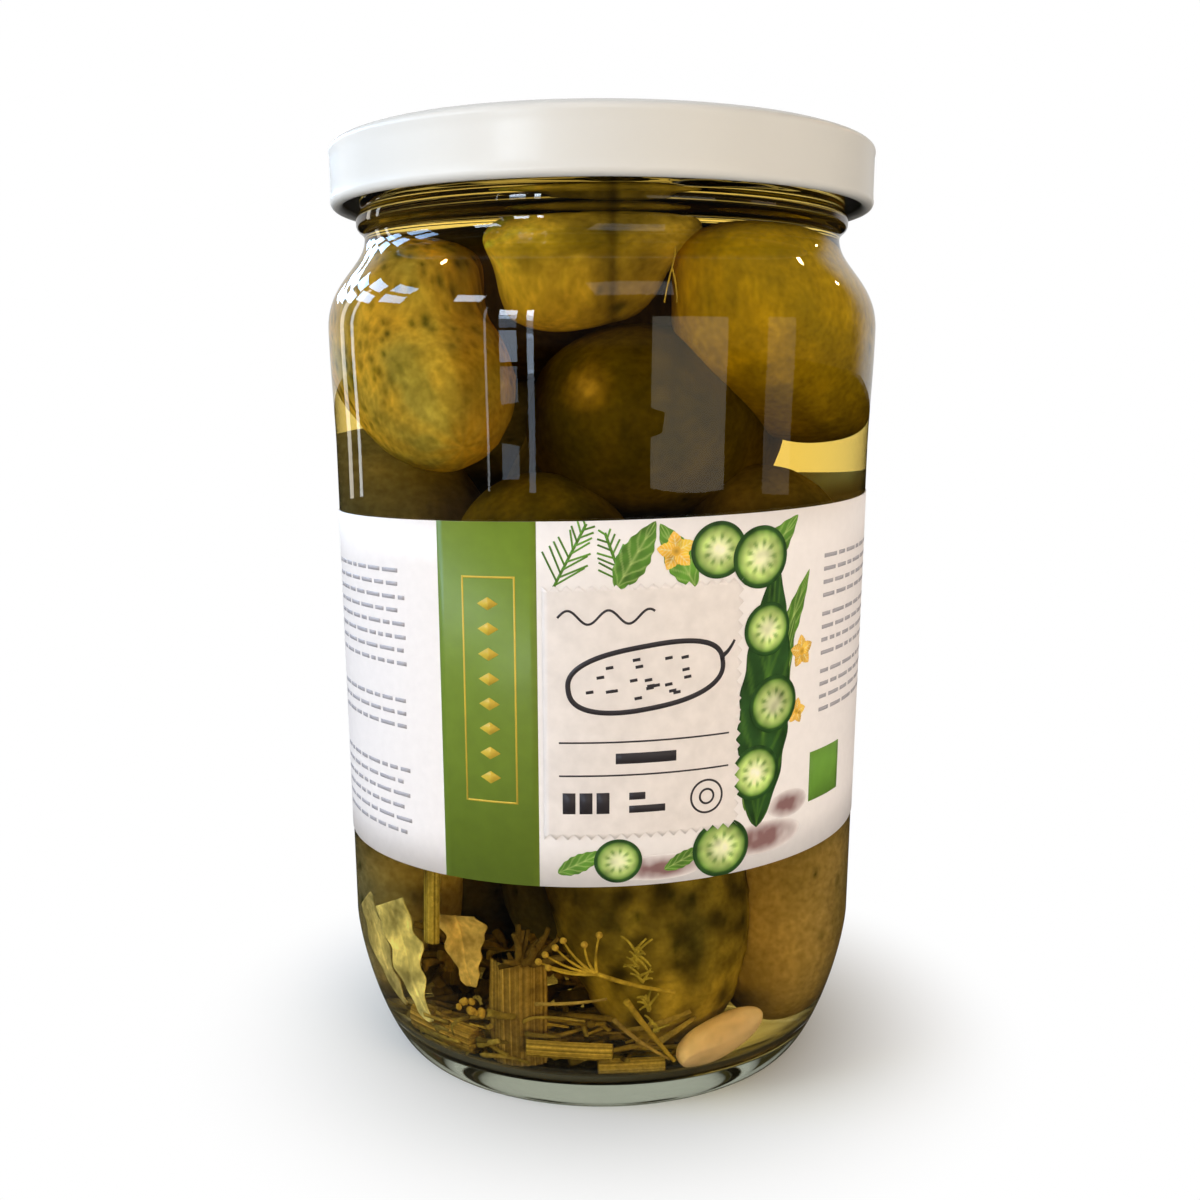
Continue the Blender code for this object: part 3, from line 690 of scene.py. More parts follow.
def stalk(start, end, radius, colour, ribs, seed):
    """A straight rod whose radius is R * (1 + ribs round it + slow unevenness), with flat cut ends. The cut
    ends are painted paler, as painted light on the cut faces, and the ribs are painted lighter on their
    ridges and darker in their grooves, as painted light and shade."""
    draw = np.random.default_rng(seed)
    steps, rows = 8 * ribs, 44
    share = np.concatenate(((0.0, 0.0, 0.0), np.linspace(0.0, 1.0, rows), (1.0, 1.0, 1.0)))
    rim = np.concatenate(((0.35, 0.7, 0.93), np.ones(rows), (0.93, 0.7, 0.35)))
    start, way = np.array(start), np.array(end) - np.array(start)
    path = start + share[:, None] * way
    dip = np.concatenate(((0.5, 0.25, 0.0), np.zeros(rows), (0.0, -0.25, -0.5)))
    path = path + dip[:, None] * way / np.linalg.norm(way)
    around = np.linspace(0.0, 2.0 * math.pi, steps, endpoint=False)
    strength = draw.uniform(0.3, 1.0, ribs)
    rib = np.cos(ribs * around) * np.interp(around, np.linspace(0.0, 2.0 * math.pi, ribs), strength)
    uneven = 0.02 * np.cos(5.0 * share[:, None] + 2.0 * around + 1.0) + 0.02 * np.cos(3.0 * around + 2.0)
    ring = radius * rim[:, None] * (0.96 + 0.045 * rib[None, :] + uneven)
    points, faces = swept(path, ring, steps)
    # Painted light and shade: the ridges of the ribs lighter and the grooves darker, and the cut ends and
    # their poles paler as painted light on the cut faces.
    shade = 1.0 + 0.34 * rib[None, :] * (rim[:, None] > 0.99) + 0.55 * (rim[:, None] < 0.99)
    slow = np.interp(share, np.linspace(0.0, 1.0, 6), draw.uniform(0.8, 1.2, 6))[:, None]
    fibre = 1.0 + 0.25 * draw.normal(size=(1, steps)) + 0.0 * share[:, None]
    tone = np.concatenate(((shade * slow * np.clip(fibre, 0.55, 1.5)).ravel(), (1.3, 1.3)))
    return points, faces, np.array(colour) * tone[:, None]


stalk_material = tinted("dill_fibre", 0.6, 0.25, 1400.0, 0.4)
for order, (stalk_name, stalk_sizes) in enumerate(DILL_STALKS.items()):
    points, faces, tint = stalk(*stalk_sizes, seed=60 + order)
    piece = put_mesh(stalk_name + "_fine", press_inside(points, 0.3), faces, tint)
    piece.data.materials.append(stalk_material)
    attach(piece, "root")
    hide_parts(stalk_name)

# The garlic: one peeled clove that has sunk to the floor of the jar, its flesh tanned by the brine.

CLOVE_SIZES = ((18.0, -30.6, 11.4), (0.86, 0.34, 0.38), 7.6, 3.6, 0.6)
CLOVE_FLESH = ((1.0, 0.70, 0.36), (0.85, 0.54, 0.25), 0, 0)

points, faces, tint = gherkin(*CLOVE_SIZES, skin=CLOVE_FLESH, seed=71, rows=60, steps=60)
garlic = put_mesh("garlic_clove_fine", points, faces, tint)
garlic.data.materials.append(tinted("garlic_flesh", 0.45, 0.1, 500.0, 0.1))
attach(garlic, "root")
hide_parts("garlic_clove")

# The leaf scraps: torn pieces of dill and bay leaf, thin, waved and pale, pressed against the glass.

# Of each: its middle, the way it points, the way it faces, its length, width and colour.
LEAVES = {
    "leaf_tall": (
        (-29.5, -22.5, 20.5), (0.30, -0.35, -0.89), (-0.72, -0.69, 0.05), 20.0, 7.5, (0.80, 0.68, 0.26)),
    "leaf_low": (
        (-33.0, -13.5, 19.0), (0.36, -0.52, -0.77), (-0.90, -0.40, -0.10), 18.0, 7.0, (0.74, 0.62, 0.28)),
    "leaf_corner": (
        (-20.3, -25.5, 24.3), (0.20, 0.05, -0.98), (-0.45, -0.89, 0.05), 12.0, 6.5, (0.66, 0.48, 0.18)),
}
LEAF_SHEET = 0.4


def thin_sheet(grid, normal, thickness):
    """A closed thin sheet over a grid of points: the grid moved out and in by half the thickness along
    its normals, joined round its edge."""
    rows, columns = grid.shape[:2]
    outer = (grid + 0.5 * thickness * normal).reshape(-1, 3)
    inner = (grid - 0.5 * thickness * normal).reshape(-1, 3)
    row, column = np.meshgrid(np.arange(rows - 1), np.arange(columns - 1), indexing="ij")
    here = (row * columns + column).ravel()
    front = np.stack((here, here + 1, here + columns + 1, here + columns), axis=-1)
    count = rows * columns
    edge = np.concatenate((
        np.arange(columns), columns * np.arange(1, rows) + columns - 1,
        count - columns + np.arange(columns - 2, -1, -1), columns * np.arange(rows - 2, 0, -1)))
    following = np.roll(edge, -1)
    rim = np.stack((following, edge, edge + count, following + count), axis=-1)
    return np.concatenate((outer, inner)), np.concatenate((front, front[:, ::-1] + count, rim))


def leaf(middle, direction, facing, length, width, colour, seed):
    """A pointed scrap: across = u * width / 2 * narrowing(v), along = v * length / 2, waved out of its
    plane by a sine along it, sunk along its midrib and torn at its edge."""
    along = np.asarray(direction, float) / np.linalg.norm(direction)
    normal = np.asarray(facing, float) - np.dot(facing, along) * along
    normal /= np.linalg.norm(normal)
    cross = np.cross(along, normal)
    u, v = np.meshgrid(np.linspace(-1.0, 1.0, 25), np.linspace(-1.0, 1.0, 61))
    narrowing = 0.25 + 0.75 * np.cos(0.5 * math.pi * np.clip(0.5 + 0.5 * v, 0.0, 1.0)) ** 0.7
    edge_place = np.stack((1.3 * np.sign(u), 3.0 * v, 0.0 * v), axis=-1).reshape(-1, 3)
    torn = 1.0 + 0.34 * ripple(edge_place, 1.7, seed + 3).reshape(u.shape) * np.abs(u) ** 2
    side = u * 0.5 * width * narrowing * torn
    lift = 0.5 * np.sin(3.4 * v + 0.6 * u) + 0.12 * np.cos(14.0 * v) * np.abs(u)
    lift = lift - 0.175 * np.exp(-(u / 0.08) ** 2)
    grid = (np.array(middle) + side[..., None] * cross + (0.5 * length * v)[..., None] * along
            + lift[..., None] * normal)
    grid = press_inside(grid.reshape(-1, 3), 0.9).reshape(grid.shape)
    points, faces = thin_sheet(grid, np.broadcast_to(normal, grid.shape), 0.75 * LEAF_SHEET)
    vein = np.exp(-(u / 0.07) ** 2) + 0.6 * np.clip(np.cos(26.0 * (v - 0.5 * np.abs(u))) - 0.7, 0.0, 1.0)
    tone = np.tile((1.0 + 0.35 * vein).ravel(), 2)
    tone = tone * (1.0 + 0.45 * ripple(points, 6.0, seed) + 0.2 * ripple(points, 2.0, seed + 1))
    return points, faces, np.array(colour) * np.clip(tone, 0.3, 2.0)[:, None]


leaf_material = tinted("leaf_scrap", 0.5, 0.2, 1200.0, 0.3)
for order, (leaf_name, leaf_sizes) in enumerate(LEAVES.items()):
    points, faces, tint = leaf(*leaf_sizes, seed=80 + order)
    piece = put_mesh(leaf_name + "_fine", points, faces, tint)
    piece.data.materials.append(leaf_material)
    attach(piece, "root")
    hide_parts(leaf_name)

# The dill heads: dried flower heads and threads of dill that came off the stalks. Fine round stems with
# seed knobs hang before the front pickle, and broken ones lie as litter over the floor of the jar.


def joined(pieces):
    """Several (points, faces, tint) as one."""
    all_points, all_faces, all_tints = zip(*pieces)
    starts = np.cumsum([0] + [len(points) for points in all_points])
    faces = [
        [corner + shift for corner in face] for some, shift in zip(all_faces, starts) for face in some]
    return np.concatenate(all_points), faces, np.concatenate(all_tints)


def strand(start, end, bow, radius, colour, seed, rows=14):
    """A thin stem: a cubic Bezier from start to end, bowed by a vector, tapering to six tenths."""
    start, end, bow = (np.array(value, float) for value in (start, end, bow))
    way = end - start
    path = bezier(start, start + way / 3.0 + bow, start + 2.0 * way / 3.0 + bow, end, rows)
    points, faces = swept(path, radius * np.linspace(1.0, 0.6, rows), 8)
    tone = 1.0 + 0.3 * ripple(points, 3.0, seed)
    return press_inside(points, 0.4), faces, np.array(colour) * np.clip(tone, 0.4, 1.8)[:, None]


def knob(middle, radius, colour, stretch=1.0):
    """A small seed: a ball drawn out by a factor along z."""
    polar = np.linspace(0.0, math.pi, 9)[1:-1, None]
    around = np.linspace(0.0, 2.0 * math.pi, 12, endpoint=False)[None, :]
    ball = np.stack((-np.sin(polar) * np.cos(around), np.sin(polar) * np.sin(around),
                     stretch * np.cos(polar) + 0.0 * around), axis=-1).reshape(-1, 3)
    ball = np.concatenate((ball, [(0.0, 0.0, stretch), (0.0, 0.0, -stretch)]))
    points = press_inside(np.array(middle) + radius * ball, 0.4)
    return points, ring_faces(7, 12), np.tile(colour, (len(points), 1))


STRAW = (0.48, 0.31, 0.035)
UMBER = (0.34, 0.22, 0.05)
KNOB_TAN = (0.55, 0.34, 0.05)
SEED_TAN = (0.46, 0.28, 0.04)
SPRIG_TAN = (0.40, 0.30, 0.04)
FROND_BROWN = np.array((0.15, 0.095, 0.022))
LITTER_BROWN = np.array((0.34, 0.24, 0.05))
LITTER_PALE = np.array((0.46, 0.33, 0.06))
LITTER_DARK = np.array((0.30, 0.20, 0.05))
HUB = (-0.7, -38.5, 24.9)
LITTER_LOWEST = 6.8
BACK_LITTER_LOWEST = 7.4

# The flower head: a stem to its hub, and rays from there that each end in a knob.
heads = [strand(HUB, (10.9, -36.8, 21.3), (0.0, 0.0, -0.5), 0.42, STRAW, 1)]
for order, tip in enumerate((
        (-0.4, -38.5, 31.3), (-5.7, -38.1, 30.2), (-2.6, -38.4, 29.7), (-8.4, -37.6, 27.7),
        (-8.0, -37.7, 25.6), (-6.9, -37.9, 29.0), (-9.4, -37.2, 26.4))):
    heads.append(strand(HUB, tip, (-0.5, 0.0, -0.6), 0.26, STRAW, 2 + order))
    heads.append(knob(tip, 0.55, KNOB_TAN))

# Loose stems: three low in front and a thread with two ends up in the neck.
for order, loose in enumerate((
        ((-10.0, -36.9, 19.5), (0.7, -38.3, 20.9), (0.0, 0.0, -0.3), 0.35, UMBER),
        ((3.6, -38.1, 20.5), (10.9, -33.3, 8.5), (-0.4, 0.0, 0.4), 0.55, STRAW),
        ((1.8, -37.6, 17.3), (10.3, -33.3, 8.8), (-0.5, 0.0, -0.3), 0.42, UMBER),
        ((10.0, -33.8, 131.2), (9.4, -36.5, 128.2), (0.1, 0.0, 0.0), 0.16, STRAW),
        ((9.4, -36.5, 128.2), (8.3, -38.1, 124.2), (-0.1, 0.0, 0.0), 0.14, STRAW),
        ((9.4, -36.5, 128.2), (10.0, -37.7, 124.2), (0.2, 0.0, 0.0), 0.14, STRAW))):
    heads.append(strand(*loose, 11 + order))

# A brown frond stands fanned out behind the upright stalk, feathery sprigs cling to the front pickle,
# and a few loose seeds lie at the left.
draw = np.random.default_rng(31)
for order, lean in enumerate(np.linspace(-0.95, 0.95, 15)):
    foot = (-11.6 + 1.5 * lean, -30.5, 24.0)
    tip = (-10.0 + 5.5 * lean, -31.5 + draw.uniform(-1.2, 0.8),
           30.0 - 4.5 * lean ** 2 + draw.uniform(-3.0, 1.5))
    bow = (draw.uniform(-0.8, 0.8), 0.0, draw.uniform(-0.4, 0.6))
    radius = draw.uniform(0.4, 0.8)
    heads.append(strand(foot, tip, bow, radius, draw.uniform(0.4, 1.2) * FROND_BROWN, 40 + order))
for order in range(34):
    share = draw.uniform(0.0, 1.0)
    foot = np.array((4.6 + 3.2 * share, -36.4, 28.5 - 14.0 * share))
    reach = np.array((draw.uniform(-2.6, 2.8), draw.uniform(-0.6, 0.4), draw.uniform(-2.4, 2.6)))
    heads.append(strand(foot, foot + reach, (0.2, 0.0, 0.3), 0.24, SPRIG_TAN, 70 + order, 8))
for order in range(9):
    across, up = draw.uniform(-0.8, 0.8), draw.uniform(-0.9, 0.9)
    place = (-21.6 + 0.45 * order + across, -31.6, 17.8 - 0.3 * order + up)
    heads.append(knob(place, draw.uniform(0.45, 0.7), SEED_TAN, draw.uniform(0.8, 1.3)))


def litter_piece(middle, reach, lowest, bow, radius, colour, seed):
    """A broken stem that reaches equally far both ways from its middle, with no end below a height."""
    limit = (-np.inf, -np.inf, lowest)
    low, high = np.maximum(middle - reach, limit), np.maximum(middle + reach, limit)
    return strand(low, high, bow, radius, colour, seed, 8)


# The litter: broken stems and needles heaped on the floor of the jar.
for order in range(330):
    middle = np.array((draw.uniform(-27.0, 12.0), draw.uniform(-28.0, -4.0) - 4.0 * (order % 4 == 0), 0.0))
    middle[2] = 7.0 + 10.0 * draw.uniform(0.0, 1.0) ** 1.6 * np.clip((-middle[1]) / 30.0, 0.3, 1.0)
    turn = draw.uniform(0.0, 2.0 * math.pi)
    reach = draw.uniform(2.0, 6.5) * np.array(
        (math.cos(turn), 0.5 * math.sin(turn), draw.uniform(-0.25, 0.35)))
    colour = draw.uniform(0.3, 1.05) * (LITTER_BROWN if order % 3 else LITTER_PALE)
    bow = draw.normal(size=3) * (0.8, 0.4, 0.5)
    thick = draw.uniform(0.3, 0.75)
    heads.append(litter_piece(middle, reach, LITTER_LOWEST, bow, thick, colour, 120 + order))

# Farther back, between the upright stalk and the pickles, more of it is caught in the gaps.
for order in range(150):
    middle = np.array((draw.uniform(-24.0, 8.0), draw.uniform(-14.0, -3.0), draw.uniform(8.0, 22.0)))
    reach = draw.normal(size=3) * (2.6, 1.2, 1.6)
    colour = draw.uniform(0.3, 0.9) * LITTER_DARK
    bow = np.abs(draw.normal(size=3)) * 0.7
    thick = draw.uniform(0.5, 1.1)
    heads.append(litter_piece(middle, reach, BACK_LITTER_LOWEST, bow, thick, colour, 460 + order))
points, faces, tint = joined(heads)
litter = put_mesh("dill_heads", points, faces, tint)
litter.data.materials.append(stalk_material)
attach(litter, "root")

# The brine: clear vinegar and dill water, filled to above the neck. It reaches a quarter of a
# millimetre into the glass all round, so that no film of air shows between them.

BRINE_LEVEL = 142.5
BRINE_OVERLAP = 0.25


def brine_profile():
    """The inner wall of the glass moved out by the overlap, cut off flat at the level of the brine."""
    wall = inner_wall()
    wall = wall[wall[:, 1] < BRINE_LEVEL - 0.3]
    slope = np.gradient(wall, axis=0)
    outward = np.stack((-slope[:, 1], slope[:, 0]), axis=1)
    outward /= np.linalg.norm(outward, axis=1, keepdims=True)
    moved = wall + BRINE_OVERLAP * outward
    moved[-1, 0] = 0.0
    top = np.array([
        (0.0, BRINE_LEVEL), (MOUTH_RADIUS - 2.0, BRINE_LEVEL), (MOUTH_RADIUS + BRINE_OVERLAP, BRINE_LEVEL)])
    return np.concatenate((top, moved))[::-1]


brine = turned("brine", brine_profile())
brine.data.materials.append(see_through("dill_brine", 1.333, (0.99, 0.98, 0.93), (2.0, 8.0, 34.0)))
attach(brine, "root")

# Light in the jar: soft lamps low in front, at the left and behind, that only the things in the brine
# receive.

inside = bpy.data.collections.new("inside")
for thing in bpy.context.scene.collection.objects:
    if thing.name.startswith(("gherkin", "dill_", "garlic", "leaf_")):
        inside.objects.link(thing)
lamp("inside_low", 12.0, -3.5, 0.9, 0.5, 0.16, 17.0, (1.0, 0.88, 0.66), lit=inside)
lamp("inside_left", -50.0, 20.0, 1.1, 0.5, 0.4, 5.0, (1.0, 0.92, 0.70), lit=inside)
for side, behind in enumerate((140.0, -140.0)):
    lamp(f"inside_back_{side}", behind, 15.0, 1.1, 0.5, 0.5, 9.0, (1.0, 0.93, 0.75), lit=inside)

# The lid: tinplate pressed to a stepped cap with a rounded corner and an inward curl, stoved with
# white lacquer. It is shut, so it never turns.

LID_RADIUS = 43.8
LID_BOTTOM = 140.6
LID_TOP = 150.85
LID_SHEET = 0.6
CURL_RADIUS = 1.0
STEP_RADIUS = 35.6
STEP_DEPTH = 0.8
BUTTON_RADIUS = 13.0
BUTTON_RISE = 0.35


def lid_profile():
    """Outside from the middle of the top to the curl, then the inside back to the middle."""
    sunk = LID_TOP - STEP_DEPTH
    button = sunk + BUTTON_RISE
    under = sunk - LID_SHEET
    inner = LID_RADIUS - LID_SHEET
    inner_top = LID_TOP - LID_SHEET
    curl_middle = (LID_RADIUS - CURL_RADIUS, LID_BOTTOM + CURL_RADIUS)
    return np.concatenate((
        bezier((0.0, button), (5.0, button), (9.0, button), (BUTTON_RADIUS - 0.6, button), 5),
        bezier((BUTTON_RADIUS - 0.3, button), (BUTTON_RADIUS + 0.6, button),
               (BUTTON_RADIUS + 0.4, sunk), (BUTTON_RADIUS + 1.4, sunk), 8),
        bezier((STEP_RADIUS - 3.0, sunk), (STEP_RADIUS - 0.6, sunk), (STEP_RADIUS - 0.8, LID_TOP),
               (STEP_RADIUS + 0.9, LID_TOP), 14),
        bezier((LID_RADIUS - 5.0, LID_TOP), (LID_RADIUS - 3.6, LID_TOP), (LID_RADIUS - 2.9, LID_TOP - 0.05),
               (LID_RADIUS - 2.3, LID_TOP - 0.25), 8),
        bezier((LID_RADIUS - 2.2, LID_TOP - 0.3), (LID_RADIUS - 0.5, LID_TOP - 0.75),
               (LID_RADIUS, LID_TOP - 1.2), (LID_RADIUS, LID_TOP - 1.9), 12),
        np.array([(LID_RADIUS - 0.12, z) for z in np.linspace(LID_TOP - 2.5, LID_BOTTOM + 2.4, 6)]),
        superellipse(curl_middle, (CURL_RADIUS, CURL_RADIUS), 2.0, 20.0, -180.0, 18),
        np.array([(inner, LID_BOTTOM + 2.2 * CURL_RADIUS), (inner, LID_TOP - 2.0),
                  (LID_RADIUS - 1.8, inner_top), (STEP_RADIUS + 0.4, inner_top),
                  (STEP_RADIUS - 1.2, under), (0.0, under)])))


lid = turned("lid_fine", lid_profile()[::-1])
lid_material = finish_of("white_lacquer", {
    "Base Color": (0.72, 0.715, 0.71, 1.0), "Roughness": 0.25, "Specular IOR Level": 0.25})[0]
lid.data.materials.append(lid_material)
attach(lid, "root")
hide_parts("lid")

# The label: one sheet of coated white paper wound round the panel a little askew, its ends short of
# each other at the back.

LABEL_BOTTOM = 40.5
LABEL_HEIGHT = 54.3
LABEL_HALF_TURN = math.radians(165.0)
LABEL_RISE = 1.13
PAPER_GAP = 0.03
PAPER = 0.10
INK = 0.012


def on_label(across, up, lift):
    """Label places in millimetres, across from the front line and up from the lower edge, laid on the
    jar: angle = across / radius, height = bottom + up + rise * angle. Gives points and their normals."""
    up = np.clip(up, 0.0, LABEL_HEIGHT)
    angle = across / PANEL_TOP_RADIUS
    height = LABEL_BOTTOM + up + LABEL_RISE * angle
    radius = panel_radius(height) + PAPER_GAP + lift
    points = np.stack((radius * np.sin(angle), -radius * np.cos(angle), height), axis=-1)
    normals = np.stack((np.sin(angle), -np.cos(angle), np.zeros_like(angle)), axis=-1)
    return points, normals


half_sheet = LABEL_HALF_TURN * PANEL_TOP_RADIUS
across, up = np.meshgrid(np.linspace(-half_sheet, half_sheet, 221), np.linspace(0.0, LABEL_HEIGHT, 9))
grid, normal = on_label(across, up, 0.5 * PAPER)
points, faces = thin_sheet(grid, normal, PAPER)
PAPER_WHITE = np.array((0.86, 0.81, 0.81))
label = put_mesh("label_sheet", points, faces, np.tile(PAPER_WHITE, (len(points), 1)))
PAPER_SHINE = 0.5
label.data.materials.append(tinted("coated_paper", 0.42, 0.02, 700.0, 0.03, PAPER_SHINE))
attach(label, "root")
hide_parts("label")

# The label's print: inks on the paper, each a film raised a hundredth of a millimetre. A plain green
# stripe and a card with pinked edges, two rules, rows of grey dashes, and painted slices, leaves and
# blossoms round the card.

print_material = tinted("printed_ink", 0.40, 0.06, 420.0, 0.02, PAPER_SHINE)


def printed(name, pieces):
    """One mesh of printed shapes, riding on the jar as part of the label."""
    points, faces, tint = joined(pieces)
    piece = put_mesh(name, points, faces, tint)
    piece.data.materials.append(print_material)
    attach(piece, "root")


def patch(across, up, layer, tint):
    """A film of ink over a grid of label places, in the layer with the given number from the paper up."""
    grid, normal = on_label(across, up, PAPER + (layer + 0.5) * INK)
    points, faces = thin_sheet(grid, normal, INK)
    tint = np.broadcast_to(tint, across.shape + (3,)).reshape(-1, 3)
    return points, faces.tolist(), np.concatenate((tint, tint))


def block(left, right, low, high, layer, tint):
    """A rectangle of ink."""
    columns = 2 + int((right - left) / 1.2)
    return patch(*np.meshgrid(np.linspace(left, right, columns), np.linspace(low, high, 3)), layer, tint)


def line(path, width, layer, tint):
    """A drawn line: a strip of the given width along a path of (across, up)."""
    path = np.asarray(path, float)
    tangent = np.gradient(path, axis=0)
    tangent /= np.linalg.norm(tangent, axis=1, keepdims=True)
    width = np.broadcast_to(np.asarray(width, float), (len(path),))[:, None]
    aside = 0.5 * width * np.column_stack((-tangent[:, 1], tangent[:, 0]))
    sides = np.stack((path + aside, path - aside), axis=1)
    return patch(sides[..., 0], sides[..., 1], layer, tint)


BAND_GREEN = np.array((0.155, 0.235, 0.021))
BAND_LEFT, BAND_RIGHT = -25.4, -9.4
CARD_LEFT, CARD_RIGHT, CARD_LOW, CARD_HIGH = -8.6, 21.4, 7.4, 45.2
TOOTH = 0.87
CHARCOAL = np.array((0.035, 0.03, 0.035))
GOLD = np.array((0.62, 0.43, 0.04))

printed("label_stripe", [block(BAND_LEFT, BAND_RIGHT, 0.0, LABEL_HEIGHT, 0, BAND_GREEN)])

# The card: white, its top, right and lower edges cut in teeth.
CARD_LAYER = 8
across_teeth = 1 + 2 * int(0.5 * (CARD_RIGHT - CARD_LEFT) / TOOTH)
up_teeth = 1 + 2 * int(0.5 * (CARD_HIGH - CARD_LOW) / TOOTH)
across, up = np.meshgrid(
    np.linspace(CARD_LEFT, CARD_RIGHT, across_teeth), np.linspace(CARD_LOW, CARD_HIGH, up_teeth))
up[-1, 1::2] -= TOOTH
up[0, 1::2] += TOOTH
across[1:-1:2, -1] -= TOOTH
# The card is painted a little darker and warmer than the paper, as painted shade where the light falls off
# across the front of the label.
card_white = np.array((0.80, 0.735, 0.715))
card = [patch(across, up, CARD_LAYER, card_white)]


def bar(left, right, low, high):
    """A dark rectangle on the card."""
    card.append(block(left, right, low, high, CARD_LAYER + 1, CHARCOAL))


def stroke(path, width):
    """A dark line on the card."""
    card.append(line(path, width, CARD_LAYER + 1, CHARCOAL))


def oval(middle, reach, tilt=0.0, power=2.0):
    """A closed superellipse path round a middle, turned by an angle in degrees."""
    turn = np.linspace(0.0, 2.0 * math.pi, 97)
    x = reach[0] * np.sign(np.cos(turn)) * np.abs(np.cos(turn)) ** (2.0 / power)
    y = reach[1] * np.sign(np.sin(turn)) * np.abs(np.sin(turn)) ** (2.0 / power)
    c, s = math.cos(math.radians(tilt)), math.sin(math.radians(tilt))
    return np.column_stack((middle[0] + c * x - s * y, middle[1] + s * x + c * y))


# Two rules, and between them and the top a line drawing of a pickle: outline, dots, stalk and a wave.
for rule in (22.2, 17.2):
    bar(-6.3, 19.4, rule - 0.13, rule + 0.13)
DRAWING = (6.6, 31.6)
stroke(oval(DRAWING, (11.6, 4.6), 8.0, 2.5), 0.75)
draw = np.random.default_rng(5)
for _ in range(26):
    dot_x, dot_y = draw.uniform(-9.5, 9.5), draw.uniform(-3.0, 3.0)
    if abs(dot_x) / 11.0 + abs(dot_y) / 5.0 < 1.05:
        dot = np.array((DRAWING[0] + dot_x - 0.14 * dot_y, DRAWING[1] + dot_y + 0.14 * dot_x))
        stroke(dot + np.linspace(-0.5, 0.5, 5)[:, None] * np.array((1.1, 0.15)), 0.45)
curl = np.linspace(0.0, 1.0, 30)
stroke(np.column_stack((17.6 + 2.4 * curl, 33.9 + 2.2 * curl ** 2)), 0.8 - 0.4 * curl)
wave = np.linspace(0.0, 1.0, 90)
stroke(np.column_stack((-6.4 + 14.0 * wave, 40.6 + 1.0 * np.sin(15.0 * wave))), 0.35)

# Below: short bars and a double ring.
for sides in (
        (2.0, 11.0, 18.9, 20.5), (-5.8, -3.9, 11.4, 14.6), (-3.3, -1.4, 11.4, 14.6), (-0.8, 1.1, 11.4, 14.6),
        (4.0, 6.4, 13.4, 14.5), (4.0, 9.4, 11.4, 12.5)):
    bar(*sides)
for ring_radius in (2.5, 1.1):
    stroke(oval((15.9, 12.9), (ring_radius, ring_radius)), 0.32)
printed("label_card", card)

# On the stripe: a thin gold frame with a row of small diamonds.
ornament = [
    block(*sides, 1, GOLD) for sides in (
        (-21.2, -12.6, 46.2, 46.5), (-21.2, -12.6, 12.6, 12.9),
        (-21.2, -20.9, 12.6, 46.5), (-12.9, -12.6, 12.6, 46.5))]
for place in np.linspace(16.5, 42.5, 8):
    diamond = np.array(((-18.6, place), (-17.0, place), (-16.9, place), (-15.3, place)))
    ornament.append(line(diamond, np.array((0.05, 1.9, 1.9, 0.05)), 1, GOLD))
printed("label_ornament", ornament)

# Round the card, in watercolour: slices with dark rind and a ring of seeds, long pointed leaves, sprigs
# of dill, yellow blossoms, and mauve-brown washes that fade into the paper.
DEEP_GREEN = np.array((0.020, 0.070, 0.012))
MID_GREEN = np.array((0.090, 0.230, 0.020))
LIGHT_GREEN = np.array((0.48, 0.62, 0.18))
CREAM = np.array((0.80, 0.82, 0.50))
YELLOW = np.array((0.86, 0.47, 0.04))
MAUVE = np.array((0.25, 0.13, 0.13))


def mixed(first, second, share):
    """Two colours mixed by a share for each place."""
    share = np.clip(share, 0.0, 1.0)[..., None]
    return first * (1.0 - share) + second * share


def watered(across, up, seed):
    """How strongly the paint has dried at each place: one and two slow ripples over it."""
    places = np.stack((across, up, 0.0 * up), axis=-1).reshape(-1, 3)
    uneven = 0.25 * ripple(places, 6.0, seed) + 0.18 * ripple(places, 1.8, seed + 1)
    return 1.0 + uneven.reshape(across.shape)


def disc_places(middle, reach):
    """A disc from a square grid (u, v): u sqrt(1 - v^2 / 2) and v sqrt(1 - u^2 / 2), stretched by reach."""
    u, v = np.meshgrid(np.linspace(-1.0, 1.0, 33), np.linspace(-1.0, 1.0, 33))
    x, y = u * np.sqrt(1.0 - 0.5 * v ** 2), v * np.sqrt(1.0 - 0.5 * u ** 2)
    return middle[0] + reach[0] * x, middle[1] + reach[1] * y, np.hypot(x, y), np.arctan2(y, x)


def painted_slice(middle, radius, layer, seed):
    """A round slice: cream flesh with nine seeds, greener outwards, a dark rind from 0.82 of the radius."""
    across, up, r, a = disc_places(middle, (radius, 0.94 * radius))
    seeds = 0.75 * np.exp(-((r - 0.45) / 0.13) ** 2) * np.clip(1.6 * np.cos(9.0 * a), 0.0, 1.0)
    tint = mixed(CREAM, LIGHT_GREEN, (r - 0.15) / 0.4)
    tint = mixed(tint, MID_GREEN, seeds)
    tint = mixed(tint, MID_GREEN, 0.8 * (r - 0.6) / 0.2)
    tint = mixed(tint, DEEP_GREEN, (r - 0.82) / 0.06)
    return [patch(across, up, layer, np.clip(tint * watered(across, up, seed)[..., None], 0.0, 0.9))]


